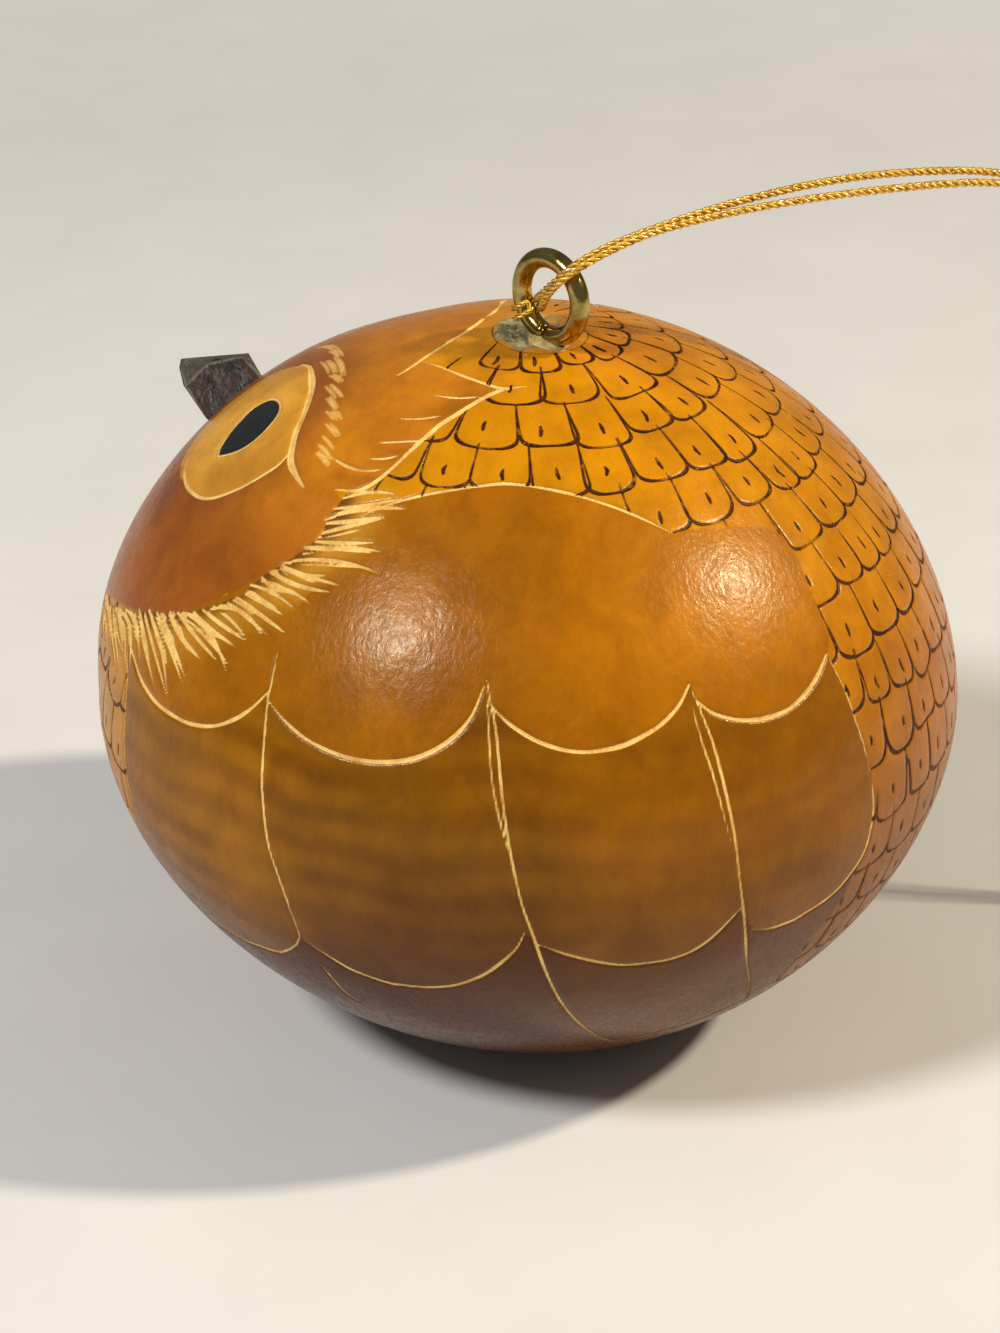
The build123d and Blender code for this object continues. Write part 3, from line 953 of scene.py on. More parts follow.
def draw_scales(ink, dash):
    """Each scale's curved lower edge, and the short dash on it."""
    rng = np.random.default_rng(11)
    above = SCALES_TOP
    for number, (bottom, bounds) in enumerate(scale_rows()):
        edges = np.append(bounds, bounds[0] + 2 * np.pi)
        for left, right in zip(edges, edges[1:]):
            middle, half = (left + right) / 2, (right - left) / 2
            from_front = abs((middle + np.pi) % (2 * np.pi) - np.pi)
            if number == 0 and from_front < BARE_CROWN:
                continue
            low = bottom + rng.normal(0, EDGE_SHIFT)
            radius = radius_at(low)
            corner = min(CORNER_LIMIT, 0.85 * half * radius) * rng.uniform(0.75, 1.1)
            start = above - 0.5 * rng.uniform(0.2, 1.2)
            inset = rng.uniform(-0.02, 0.08) / radius
            turns = np.linspace(0, np.pi, 13)
            square = rng.uniform(0.55, 0.78)
            across = -np.sign(np.cos(turns)) * np.abs(np.cos(turns)) ** square * (half - inset)
            down = np.abs(np.sin(turns)) ** square * corner
            fars = np.concatenate([[start], low - corner + down, [start]])
            lean_by = rng.normal(0, 0.25) / radius
            lons = np.concatenate([[middle - half + inset], middle + across, [middle + half - inset]])
            lons = lons + lean_by * np.clip((fars - start) / (low - start), 0, 1)
            points = wobble(on_surface(fars, lons), LINE_SHIFT, 31)
            points = on_surface(far_of(points), lon_of(points))
            heavy = rng.uniform(0.85, 1.2)
            widths = np.concatenate([[0.06], 0.10 + 0.08 * np.sin(2 * turns) ** 2, [0.06]]) * heavy
            edge = on_surface(finer(far_of(points)), finer(np.unwrap(lon_of(points))))
            draw(ink, edge, finer(widths), 0.3)
            tick = low - (low - above) * rng.uniform(0.34, 0.5)
            long = rng.uniform(0.36, 0.60)
            place = middle + rng.normal(0, 0.2) / radius
            sway = [0, rng.normal(0, 0.07) / radius, rng.normal(0, 0.1) / radius]
            ends = on_surface(np.array([tick - long, tick, tick + long]), place + np.array(sway))
            draw(dash, ends, [0.09, 0.17, 0.12], 0.3)
        above = bottom


FRINGE_STROKES = 100
LONG_STROKES = (0.8, 1.18)
SHORT_STROKES = (0.5, 0.8)
STROKE_WIDTHS = (0.15, 0.22)
GAP_WIDTHS = (0.09, 0.12)


def draw_fringe(fringe, gaps):
    """Tapering strokes from the face's edge outwards; returns the lines of both their ends."""
    inner = cast([pair[0] for pair in FRINGE_GUIDES])
    outer = cast([pair[1] for pair in FRINGE_GUIDES])
    turns = np.linspace(0, 1, 9)[:-1]
    chin_in = on_surface(far_of(inner[0]) + 1.5 * (1 - turns), turns * lon_of(inner[0]))
    chin_out = on_surface(far_of(outer[0]) + 1.0 * (1 - turns), turns * lon_of(outer[0]))
    inner = np.concatenate([chin_in, inner])
    outer = np.concatenate([chin_out, outer])
    steps = np.linalg.norm(np.diff((inner + outer) / 2, axis=0), axis=1)
    gone = np.concatenate([[0], np.cumsum(steps)])
    gone /= gone[-1]
    for side, seed in ((1, 3), (-1, 4)):
        rng = np.random.default_rng(seed)
        for number in range(FRINGE_STROKES):
            place = np.clip((number + rng.uniform(-0.45, 0.45)) / FRINGE_STROKES, 0, 1)
            begin = np.array([np.interp(place, gone, inner[:, i]) for i in range(3)])
            tip = np.clip(place + rng.normal(0, 0.010), 0, 1)
            end = np.array([np.interp(tip, gone, outer[:, i]) for i in range(3)])
            reach = rng.uniform(*(LONG_STROKES if number % 3 else SHORT_STROKES))
            back = rng.uniform(-0.06, 0.10)
            t = np.linspace(back, reach, 7)[:, None]
            line = begin + (end - begin) * t
            across = np.cross(end - begin, begin)
            across /= np.linalg.norm(across)
            line = line + across * (rng.normal(0, 0.22) * np.sin(np.pi * (t - back) / (reach - back)))
            line = line if side > 0 else flip(line)
            line = on_surface(far_of(line), lon_of(line))
            widths = rng.uniform(*STROKE_WIDTHS) * np.array([0.6, 0.9, 1.0, 1.0, 0.9, 0.65, 0.2])
            draw(fringe, line, widths, 0.3)
            if number % 3 == 1:
                beside = line + (across if side > 0 else flip(across)) * rng.uniform(0.22, 0.34)
                beside = on_surface(far_of(beside), lon_of(beside))
                widths = rng.uniform(*GAP_WIDTHS) * np.array([1.1, 1.0, 0.9, 0.4])
                draw(gaps, beside[:4], widths, 0.3)
    return inner, outer


def round_stem(line):
    """The crown line carried on round the front of the stem to the middle."""
    keep = line[line[:, 0] > 0.4]
    last = keep[-1]
    lons = np.linspace(lon_of(last), 0, 12)[1:]
    fars = np.linspace(far_of(last), far_of(last) * 0.97, 12)[1:]
    return np.concatenate([keep, on_surface(fars, lons)])


def stroke(field, line, wide, seed, ends):
    """Uneven line on both sides of the owl, with ends of a share of its half width."""
    for side, points in both_sides(line):
        points = points if side > 0 else wobble(points, 0.35, seed)
        count = len(points)
        from_end = np.minimum(np.arange(count), np.arange(count)[::-1])
        taper = np.minimum(1, ends + (1 - ends) * from_end / max(1, count * 0.15))
        vary = 1 + 0.22 * lattice_noise(points, 2.2, seed + 50)
        draw(field, points, wide * taper * vary, 0.4)


def blank():
    return np.full(far_grid.shape, OUTSIDE)


lines = {name: cast(curve_through(line, step)) for name, line, step in (
    ("brow", BROW_LINE, 5), ("brow_back", BROW_BACK, 5), ("crown", CROWN_LINE, 5),
    ("lid", LID_LINE, 4), ("iris", IRIS_LINE, 4), ("wing_top", WING_TOP, 5),
    ("shoulder", SHOULDER, 5), ("wing_front", WING_FRONT, 5),
)}
crown = round_stem(lines["crown"])
scallops = lines_cast(SCALLOPS)
feathers = lines_cast(FEATHERS)
arcs = lines_cast(BOTTOM_ARCS)


def carve():
    """Cut lines and brushed brow on the grid, and the lines of both ends of the fringe."""
    cut = blank()
    for line, wide, seed, ends in (
        (lines["brow"], 0.22, 1, 0.25), (lines["brow_back"], 0.16, 2, 0.35), (crown, 0.22, 3, 0.45),
        (lines["lid"], 0.29, 4, 0.3), (lines["iris"], 0.16, 5, 0.4), (lines["wing_top"], 0.15, 6, 0.3),
        (lines["wing_front"], 0.10, 7, 0.4),
    ):
        stroke(cut, line, wide, seed, ends)
    fine = [(wide, line) for wide, group in (
        (0.095, lines_cast(DOUBLES)), (0.10, lines_cast(LOW_LINES)), (0.12, lines_cast(SPIKES, 3)),
    ) for line in group]
    for number, line in enumerate(scallops):
        stroke(cut, line, 0.175, 10 + number, 0.45)
    for number, line in enumerate(feathers):
        stroke(cut, line, 0.12 if number < 3 else 0.10, 20 + number, 0.4)
    for number, line in enumerate(arcs):
        stroke(cut, line, 0.14, 30 + number, 0.4)
    for number, (wide, line) in enumerate(fine):
        stroke(cut, line, wide, 40 + number, 0.25)
    for _, edge in both_sides(PUPIL_EDGE):
        draw(cut, edge, 0.13, 0.4)
    brush = blank()
    rng = np.random.default_rng(5)
    for line in lines_cast(BROW_STROKES, 2):
        along = np.linspace(0, 1, len(line))
        for shift in rng.normal(0, (0.1, 0.25, 0.25), (3, 3)):
            for _, points in both_sides(line + shift):
                points = on_surface(far_of(points), lon_of(points))
                draw(brush, points, 0.03 + 0.07 * np.sin(np.pi * along), 0.3)
    gaps, fringe = blank(), blank()
    inner, outer = draw_fringe(fringe, gaps)
    return np.maximum(cut, np.minimum(fringe, -gaps)), brush, inner, outer


cut, brush, fringe_in, fringe_out = carve()


def regions():
    """Masks of the face and of the wings."""
    junction = np.argmin(np.linalg.norm(crown - lines["brow_back"][-1], axis=1))
    front = crown[junction:][::-1]
    edge = cast(curve_through(FRINGE_IN, 5))
    chin = fringe_in[:8][::-1]
    half = np.concatenate([front, lines["brow_back"][::-1], lines["brow"][::-1], edge[::-1], chin])
    face = within(np.concatenate([half, flip(half[::-1])]))
    wing_front = lines["wing_front"]
    gap = cast([(345, 500), (352, 512)])
    rear = cast(curve_through([(852, 878), (842, 898), (828, 918), (808, 942)], 5))
    wing_half = np.concatenate([
        gap, lines["wing_top"], lines["shoulder"], feathers[3], arcs[3][:16], rear,
        on_surface(np.full(14, TOTAL_FAR), np.linspace(lon_of(rear[-1]), lon_of(wing_front[-1]), 14)),
        wing_front[::-1], cast([(150, 614), (223, 596), (292, 557), (338, 519)]),
    ])
    wing = within(wing_half) | within(flip(wing_half))
    return face, wing & ~face


face, wing = regions()


def fringe_zone():
    """Band of the fringe, between its inner and outer ends."""
    half = np.concatenate([fringe_in, fringe_out[::-1]])
    return within(half) | within(flip(half))


lon = wing_lon()
fringe_band = fringe_zone()
CHEST_PAST_WING = 0.15
CHEST_TOP = 40


def ink_scales():
    """Mask of the chest, and how far each grid point lies inside a burnt line."""
    scale_ink, dash = blank(), blank()
    draw_scales(scale_ink, dash)
    wing_front = lines["wing_front"]
    front_lon = lon_of(wing_front[len(wing_front) // 2])
    chest = ~face & ~wing & (lon < front_lon + CHEST_PAST_WING) & (far_grid > CHEST_TOP)
    inked = ~face & ~wing & ~fringe_band
    return chest, np.where(inked, np.maximum(scale_ink, dash), OUTSIDE)


chest, ink = ink_scales()


def wing_rows():
    """Masks of the coverts and of the banded feathers on both wings."""
    limits = []
    for edge in (np.concatenate(scallops), np.concatenate([arcs[0], arcs[1], arcs[2], arcs[3][6:]])):
        order = np.argsort(lon_of(edge))
        limits.append(np.interp(lon, lon_of(edge)[order], far_of(edge)[order]))
    covert = wing & (far_grid < limits[0])
    return covert, wing & ~covert & (far_grid < limits[1])


def gap_to_line(points):
    """Distance of each grid point from the nearest of the points or of their mirror images."""
    gap = np.min([gap_to(point) for point in points], axis=0)
    return np.minimum(gap, gap[:, ::-1])


def past_angle(low, high):
    """From 0 to 1 between two angles from the front, in degrees."""
    return step_up(lon, math.radians(low), math.radians(high))


# Colours are painted over each other, from the ground up.
broad = lattice_noise(grid, 9.0, 61)
middle = lattice_noise(grid, 3.2, 62)
colour = np.zeros((*far_grid.shape, 3))


def paint(area, amount, tone):
    """Covers an area of the grid with a screen colour, by an amount from 0 to 1."""
    part = np.where(area, amount, 0.0)[..., None]
    colour[...] = colour * (1 - part) + np.array(rgb(*tone)) * part


def stain_ground():
    """Golden ground of the scales, with painted shade that darkens it at the back and low down."""
    paint(True, 1.0, (206, 134, 4))
    paint(True, 0.55 * step_up(broad + 0.4 * middle, 0.0, 1.0), (198, 118, 22))
    paint(True, 0.45 * step_up(-broad + 0.5 * middle, 0.1, 1.1), (172, 116, 8))
    # Painted shade: the ground darkens towards the back and low down, where less light falls.
    paint(True, 0.5 * (past_angle(110, 165) * step_up(far_grid, 20, 50)), (170, 98, 10))
    paint(True, 0.85 * step_up(far_grid, 34, 66), (116, 60, 0))


EYE_RADIUS = 6.9
EYE_SHADE = 11


def stain_face():
    """Face golden over the eyes, brown below them and round the irises."""
    paint(face, 1.0, (190, 116, 22))
    paint(face, step_up(-grid[..., 2], -54, -46), (158, 86, 20))
    near_iris = np.minimum(gap_to(IRIS), gap_to(flip(IRIS)))
    paint(face, 0.75 * step_up(-near_iris, -13.0, -8.0), (140, 72, 24))
    streaks = lattice_noise(grid * np.array([1, 0.35, 1]), 1.3, 64)
    golden = face & (far_grid < far_of(lines["brow"][0])) & (near_iris > EYE_SHADE)
    paint(golden, 0.5 * step_up(streaks, -0.2, 0.7), (194, 124, 12))
    brow_gap = gap_to_line(lines["brow"][::4])
    paint(face, 0.45 * step_up(-brow_gap, -3.4, -0.6) * step_up(streaks, -0.6, 0.3), (140, 76, 14))
    join = np.argmin(np.linalg.norm(lines["lid"] - lines["iris"][-1], axis=1))
    eye = np.concatenate([lines["iris"], lines["lid"][:join][::-1]])
    eye = within(eye) | within(flip(eye)) | ((near_iris < EYE_RADIUS) & face)
    paint(eye, 1.0, (226, 164, 56))
    paint(eye, 0.55 * step_up(near_iris, 3.6, 7.2), (190, 120, 24))


BAND_SPACING = 3.4
BAND_SWAY = 0.9
BAND_WAVES = 6.4


def stain_wings():
    """Wings with coverts above, banded feathers below them, and dark under the last arcs; painted shade
    darkens the banded feathers low down and towards the back.
    """
    covert, banded = wing_rows()
    under = wing & ~covert & ~banded
    paint(wing, 1.0, (164, 100, 0))
    paint(wing, 0.6 * step_up(broad + 0.5 * middle, -0.4, 0.9), (146, 86, 4))
    paint(wing, 0.4 * past_angle(60, 105), (140, 78, 0))
    paint(wing, 0.7 * (past_angle(112, 140) * step_up(-far_grid, -46, -34)), (190, 118, 14))
    late = past_angle(112, 128)
    wave = far_grid + BAND_SWAY * np.cos(np.radians(7.5) + lon * BAND_WAVES) + 1.2 * broad + 0.3 * middle
    strength = 0.5 * (0.45 + 0.55 * step_up(lattice_noise(grid, 7.0, 65), -0.6, 0.6))
    band = step_up(np.cos(2 * np.pi * wave / BAND_SPACING), -0.9, 1.0) * strength
    # Painted shade: lower rises low down and towards the back; the banded feathers are paler above it and
    # darkened within it.
    lower = step_up(far_grid + 8 * past_angle(68, 100), WIDEST_FAR, WIDEST_FAR + 25)
    paint(banded, 1.0, (136, 84, 0))
    paint(banded, 0.65 * step_up(-lower + 0.5 * middle, -0.9, 0.1), (158, 102, 2))
    paint(banded, band, (108, 60, 2))
    paint(banded, 0.9 * lower, (66, 30, 0))
    # More painted shade towards the back.
    paint(banded, 0.35 * past_angle(75, 95), (84, 42, 0))
    paint(banded, 0.5 * late, (150, 90, 0))
    paint(under, 1.0, (80, 36, 0))
    paint(under, 0.7 * late, (104, 54, 0))


def stain_chest():
    """Chest pale above and dark below, and the gourd darker towards its base, partly burnt and partly painted
    shade.
    """
    belly = far_of(arcs[0][-1])
    paint(chest, 1.0, (184, 122, 18))
    paint(chest, 0.8 * step_up(far_grid, belly - 3, belly + 4), (112, 58, 0))
    # Darker towards the base: partly the burnt colour, partly painted shade of the lower part.
    paint(True, 0.7 * step_up(far_grid, WIDEST_FAR + 24, WIDEST_FAR + 38), (62, 28, 0))


def stain_fringe():
    """Fringe pale gold between the strokes, burnt dark at their inner ends."""
    inner_gap = gap_to_line(cast(curve_through(FRINGE_IN, 9)))
    paint(fringe_band, 0.75 * step_up(-inner_gap, -5.2, -2.0), (196, 138, 36))
    paint(fringe_band, 0.85 * step_up(-inner_gap, -2.0, -0.3), (96, 46, 8))


stain_ground()
stain_face()
stain_wings()
stain_chest()
stain_fringe()
mottle = 1 + 0.09 * middle + 0.05 * lattice_noise(grid, 1.1, 63)
colour = np.clip(colour * mottle[..., None], 0.001, 1)


# Gourd: the shell's mesh.
CUT_DEEP = 0.16
BURNT_DEEP = 0.10
HUB_RADIUS = 0.6
BASE_STEPS = 14
CAVITY_STEPS = 30
FLOOR_STEPS = 8
BASE_TONE = rgb(58, 28, 14)
INSIDE_TONE = rgb(196, 160, 104)


def level_ring(radius, height):
    """Ring of points round the gourd's axis, one for each column."""
    height = np.broadcast_to(height, lon_axis.shape)
    return np.stack([radius * np.sin(lon_axis), -radius * np.cos(lon_axis), height], axis=1)


def surface_normals():
    """Unit normals of the plain outline at the grid's points."""
    step = 0.02
    radius_slope = (radius_at(far_grid + step) - radius_at(far_grid - step)) / (2 * step)
    height_slope = (height_at(far_grid + step) - height_at(far_grid - step)) / (2 * step)
    length = np.maximum(np.hypot(radius_slope, height_slope), 1e-6)
    flat_out, upward = -height_slope / length, radius_slope / length
    return np.stack([flat_out * np.sin(lon_grid), -flat_out * np.cos(lon_grid), upward], axis=-1)


def carved_outside():
    """The grid's points with grooves, small dents, the fuller face and the lean."""
    groove = CUT_DEEP * step_up(cut, -0.12, 0.18) + BURNT_DEEP * step_up(ink, -0.10, 0.12)
    edge = np.minimum(1, np.minimum(np.arange(ROWS + 1), np.arange(ROWS + 1)[::-1]) / 4)[:, None]
    dents = 0.03 + 0.06 * lattice_noise(grid, 14.0, 71) + 0.010 * lattice_noise(grid, 1.6, 72)
    outer = lean(grid - surface_normals() * ((groove + np.clip(dents, 0, 1)) * edge)[..., None])
    outer[..., 2] = np.maximum(outer[..., 2], 0)
    over = -outer[..., 1] - (FRONT_LIMIT - FRONT_EASE)
    eased = FRONT_EASE * np.tanh(np.maximum(over, 0) / FRONT_EASE)
    outer[..., 1] = np.where(over > 0, -(FRONT_LIMIT - FRONT_EASE) - eased, outer[..., 1])
    return outer


def inside_rings(rim):
    """Rings from the stem's hole, whose upper edge is rim, down to the cavity's floor."""
    width, crown_rise, belly = BODY_RADIUS - WALL, CROWN_RISE - WALL, BELLY_DROP - WALL
    hole_end = WIDEST_HEIGHT + crown_rise * (1 - (rim_radius / width) ** CROWN_POWER) ** (1 / CROWN_POWER)
    hole = []
    for part in (0.34, 0.67):
        ring = rim.copy()
        ring[:, 2] = ring[:, 2] + (hole_end - ring[:, 2]) * part
        hole.append(ring)
    cavity = []
    start_turn = np.arccos((rim_radius / width) ** (CROWN_POWER / 2))
    for part in np.linspace(1, 0, CAVITY_STEPS):
        radius, rise = outline(start_turn * part, width, crown_rise, CROWN_POWER)
        cavity.append(level_ring(radius, WIDEST_HEIGHT + rise))
    last = math.asin(((WIDEST_HEIGHT - BASE_WALL) / belly) ** (BELLY_POWER / 2))
    for part in np.linspace(0, 1, CAVITY_STEPS)[1:]:
        radius, drop = outline(last * part, width, belly, BELLY_POWER)
        cavity.append(level_ring(radius, WIDEST_HEIGHT - drop))
    floor_radius, _ = outline(last, width, belly, BELLY_POWER)
    for radius in np.linspace(floor_radius, HUB_RADIUS, FLOOR_STEPS)[1:]:
        cavity.append(level_ring(radius, BASE_WALL))
    cavity = lean(np.array(cavity))
    cavity[-1][:, 2] = BASE_WALL
    return [*hole, *cavity]


def gourd_mesh():
    """Closed hollow shell: the carved outside, the hole of the stem and the plain inside."""
    outer = carved_outside()
    base_shift = lean(np.zeros((1, 3)))[0]
    base_radii = np.linspace(radius_at(TOTAL_FAR), HUB_RADIUS, BASE_STEPS)[1:]
    base = [level_ring(radius, 0.0) + base_shift for radius in base_radii]
    inner = inside_rings(outer[0])
    rings = [*outer, *base, *inner]
    count, outer_rings = len(rings), len(outer) + len(base)
    points = np.concatenate([*rings, [base_shift, lean(np.array([[0, 0, BASE_WALL]]))[0]]])
    ids = np.arange(count * COLUMNS).reshape(count, COLUMNS)

    def quads(a, b):
        return np.stack([a, np.roll(a, -1), np.roll(b, -1), b], axis=1)

    def fan(ring, hub):
        return np.stack([ring, np.roll(ring, -1), np.full(COLUMNS, hub)], axis=1)

    faces = [quads(ids[row], ids[row + 1])[:, ::-1] for row in range(outer_rings - 1)]
    chain = [0, *range(outer_rings, count)]
    faces += [quads(ids[one], ids[two]) for one, two in zip(chain, chain[1:])]
    quad = np.concatenate(faces)
    fan_base = fan(ids[outer_rings - 1], count * COLUMNS)[:, ::-1]
    fan_floor = fan(ids[-1], count * COLUMNS + 1)
    mesh = bpy.data.meshes.new("gourd")
    loops = np.concatenate([quad.ravel(), fan_base.ravel(), fan_floor.ravel()]).astype(np.int32)
    sizes = np.concatenate([np.full(len(quad), 4), np.full(2 * COLUMNS, 3)])
    starts = np.concatenate([[0], np.cumsum(sizes)[:-1]]).astype(np.int32)
    mesh.vertices.add(len(points))
    mesh.vertices.foreach_set("co", (points * MM).astype(np.float32).ravel())
    mesh.loops.add(len(loops))
    mesh.loops.foreach_set("vertex_index", loops)
    mesh.polygons.add(len(sizes))
    mesh.polygons.foreach_set("loop_start", starts)
    mesh.update(calc_edges=True)
    mesh.validate()
    mesh.polygons.foreach_set("use_smooth", np.ones(len(mesh.polygons), bool))
    rim = blank()
    draw(rim, PUPIL_EDGE, 0.0, 1.2)
    pupil = np.where(within(PUPIL_EDGE), -rim, rim) - PUPIL_INSET
    pupil = np.maximum(pupil, pupil[:, ::-1])
    for name, field in (("cut", cut), ("ink", ink), ("brush", brush), ("pupil", pupil)):
        elsewhere = np.full(len(points) - field.size, OUTSIDE)
        store(mesh, name, np.clip(np.concatenate([field.ravel(), elsewhere]), -1, 1))
    tones = np.concatenate([
        colour.reshape(-1, 3),
        np.tile(BASE_TONE, (len(base) * COLUMNS, 1)),
        np.tile(INSIDE_TONE, (len(inner) * COLUMNS, 1)),
        [BASE_TONE, INSIDE_TONE],
    ])
    store(mesh, "stain", np.concatenate([tones, np.ones((len(tones), 1))], axis=1), "FLOAT_COLOR")
    outside = [np.ones(outer_rings * COLUMNS), np.zeros(len(inner) * COLUMNS), [1, 0]]
    store(mesh, "outside", np.concatenate(outside))
    map_gourd(mesh, loops, len(quad) * 4, count, outer_rings)
    obj = put("gourd", mesh)
    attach(obj, "root")
    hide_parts("gourd_shell")
    return obj


def map_gourd(mesh, loops, quad_loops, count, outer_rings):
    """The map used for baking: angle across, distance from the crown down."""
    down = np.concatenate([
        np.linspace(0.995, 0.16, ROWS + 1), np.linspace(0.16, 0.11, outer_rings - ROWS)[1:],
        np.linspace(0.10, 0.005, count - outer_rings),
    ])
    u_of = np.append(np.tile(np.arange(COLUMNS) / COLUMNS, count), [0.5, 0.5])
    v_of = np.append(np.repeat(down, COLUMNS), [0.105, 0.001])
    loop_u, loop_v = u_of[loops], v_of[loops]
    corners = loop_u[:quad_loops].reshape(-1, 4)
    wraps = (corners.max(axis=1) - corners.min(axis=1)) > 0.5
    corners[wraps] = np.where(corners[wraps] < 0.5, corners[wraps] + 1, corners[wraps])
    layer = mesh.uv_layers.new(name="OFBake")
    layer.data.foreach_set("uv", np.stack([np.clip(loop_u, 0, 1), loop_v], axis=1).astype(np.float32).ravel())


def gourd_shader():
    s = Shader("carved_gourd")
    base = s.attribute("stain", "Color")
    cut_mask = s.spread(s.attribute("cut"), -0.035, 0.035)
    ink_mask = s.spread(s.attribute("ink"), -0.03, 0.04)
    pupil_mask = s.spread(s.attribute("pupil"), -0.03, 0.03)
    tall = s.stretched((1, 1, 0.35))
    blotch = s.noise(210, 4, 0.55, distortion=0.6)
    streak = s.noise(1500, 4, 0.6, tall)
    speck = s.noise(3600, 2, 0.6)
    tone = s.mix(s.spread(blotch, 0.38, 0.68, 0.0, 0.28), base, rgb(120, 66, 18), "MULTIPLY")
    tone = s.mix(s.spread(streak, 0.50, 0.75, 0.0, 0.10), tone, rgb(255, 232, 150), "OVERLAY")
    tone = s.mix(s.spread(streak, 0.25, 0.45, 0.13, 0.0), tone, rgb(96, 50, 6))
    tone = s.mix(s.spread(speck, 0.66, 0.74, 0.0, 0.25), tone, rgb(86, 44, 6))
    brush_mask = s.math("MULTIPLY", s.spread(s.attribute("brush"), -0.12, 0.08), 0.75)
    tone = s.mix(brush_mask, tone, rgb(244, 200, 110))
    cream = s.mix(s.patches(520, 3, 0.6, 0.35, 0.7), rgb(244, 204, 116), rgb(212, 150, 62))
    cream = s.mix(s.patches(4200, 2, 0.5, 0.45, 0.75, 0.0, 0.5), cream, rgb(250, 226, 160))
    tone = s.mix(cut_mask, tone, cream)
    brown = s.mix(s.patches(900, 3, 0.6, 0.4, 0.65), rgb(38, 16, 6), rgb(74, 34, 10))
    tone = s.mix(s.math("MULTIPLY", ink_mask, s.patches(1300, 3, 0.6, 0.28, 0.42, 0.45, 1.0)), tone, brown)
    tone = s.mix(pupil_mask, tone, rgb(30, 33, 36))
    plain = s.mix(s.patches(700, 4, 0.6, 0.3, 0.7), rgb(172, 134, 84), rgb(214, 182, 126))
    s.set("Base Color", s.mix(s.attribute("outside"), plain, tone))
    line_mask = s.math("MAXIMUM", cut_mask, ink_mask)
    rough = s.spread(s.noise(2000, 3, 0.6, tall), 0.3, 0.7, 0.19, 0.36)
    rough = s.math("ADD", rough, s.math("MULTIPLY", line_mask, 0.16))
    s.set("Roughness", rough)
    s.set("Specular IOR Level", 0.22)
    s.set("Specular Tint", (1.0, 0.92, 0.70))
    scratch = s.noise(2500, 3, 0.55, s.stretched((1, 1, 0.45)))
    wave = s.bump(s.noise(160, 2, 0.5), 0.00035, 0.5)
    grain = s.bump(scratch, 0.000052, 0.8, wave)
    carved = s.bump(s.math("SUBTRACT", 1.0, line_mask), 0.00010, 0.8, grain)
    s.set("Normal", carved)
    return s


gourd = gourd_mesh()
dress(gourd, gourd_shader())


# Beak: rough faceted wood with rounded edges and a pale painted highlight along them.
def remeshed(name, node, voxel, rounds):
    """Even fine mesh of a CAD node, with its edges slightly worn."""
    mesh = nodes[node].data.copy()
    mesh.name = name
    obj = put(name, mesh)
    change = obj.modifiers.new("remesh", "REMESH")
    change.mode = "VOXEL"
    change.voxel_size = voxel * MM
    change.use_smooth_shade = True
    soften = obj.modifiers.new("soften", "SMOOTH")
    soften.iterations = rounds
    soften.factor = 0.5
    bpy.context.view_layer.update()
    made = bpy.data.meshes.new_from_object(obj.evaluated_get(bpy.context.evaluated_depsgraph_get()))
    obj.modifiers.clear()
    old = obj.data
    obj.data = made
    bpy.data.meshes.remove(old)
    made.polygons.foreach_set("use_smooth", np.ones(len(made.polygons), bool))
    return obj


def mesh_points(mesh):
    points = np.empty(len(mesh.vertices) * 3, np.float32)
    mesh.vertices.foreach_get("co", points)
    normals = np.empty(len(mesh.vertices) * 3, np.float32)
    mesh.vertices.foreach_get("normal", normals)
    return points.reshape(-1, 3) / MM, normals.reshape(-1, 3)


BEAK_CORNERS = np.array([
    (1.455, -31.65, 50.60), (0.7, -29.84, 52.55), (0.55, -26.6, 53.72), (1.71, -24.02, 52.63),
])
BEAK_SIDE = np.array([0.862, -0.157, 0.481])
BEAK_BACK = 0.872 * RIGHT + 0.49 * UP


def gap_to_edge(points, ends):
    begin, run = ends[0], ends[1] - ends[0]
    along = np.clip((points - begin) @ run / (run @ run), 0, 1)
    return np.linalg.norm(points - begin - along[:, None] * run, axis=1)


def make_beak():
    obj = remeshed("beak_carved", "beak", 0.09, 2)
    points, normals = mesh_points(obj.data)
    points = points.astype(float)
    chips = lattice_noise(points, 1.4, 81) + 0.6 * np.abs(lattice_noise(points, 0.8, 82))
    chips = chips + 0.3 * lattice_noise(points, 0.35, 83)
    side_face = step_up(np.abs(normals[:, 0]), 0.45, 0.75)
    one_side = points.copy()
    one_side[:, 0] = np.abs(one_side[:, 0])
    edge_gap = np.min([gap_to_edge(one_side, BEAK_CORNERS[i : i + 2]) for i in range(3)], axis=0)
    front = np.cross(BEAK_SIDE, BEAK_CORNERS[0] - BEAK_CORNERS[1])
    front /= np.linalg.norm(front)
    ahead = (one_side - BEAK_CORNERS[1]) @ front
    keep = step_up(edge_gap, 0.15, 0.6)
    points = points - normals * (0.04 + 0.16 * side_face * keep * (0.5 + 0.5 * chips))[:, None]
    past = np.maximum((points - BEAK_CORNERS[3]) @ BEAK_BACK, 0)
    points = points - past[:, None] * BEAK_BACK
    obj.data.vertices.foreach_set("co", (points * MM).astype(np.float32).ravel())
    obj.data.update()
    ahead = -ahead if ahead[np.argmin(points[:, 1])] < 0 else ahead
    store(obj.data, "smooth_cut", np.maximum(step_up(ahead, -0.05, 0.10), 1 - side_face))
    # Pale painted highlight along the facets' edges.
    store(obj.data, "edge_highlight", step_up(-edge_gap, -0.17, -0.04))
    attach(obj, "root")
    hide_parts("beak")
    dress(obj, beak_shader())


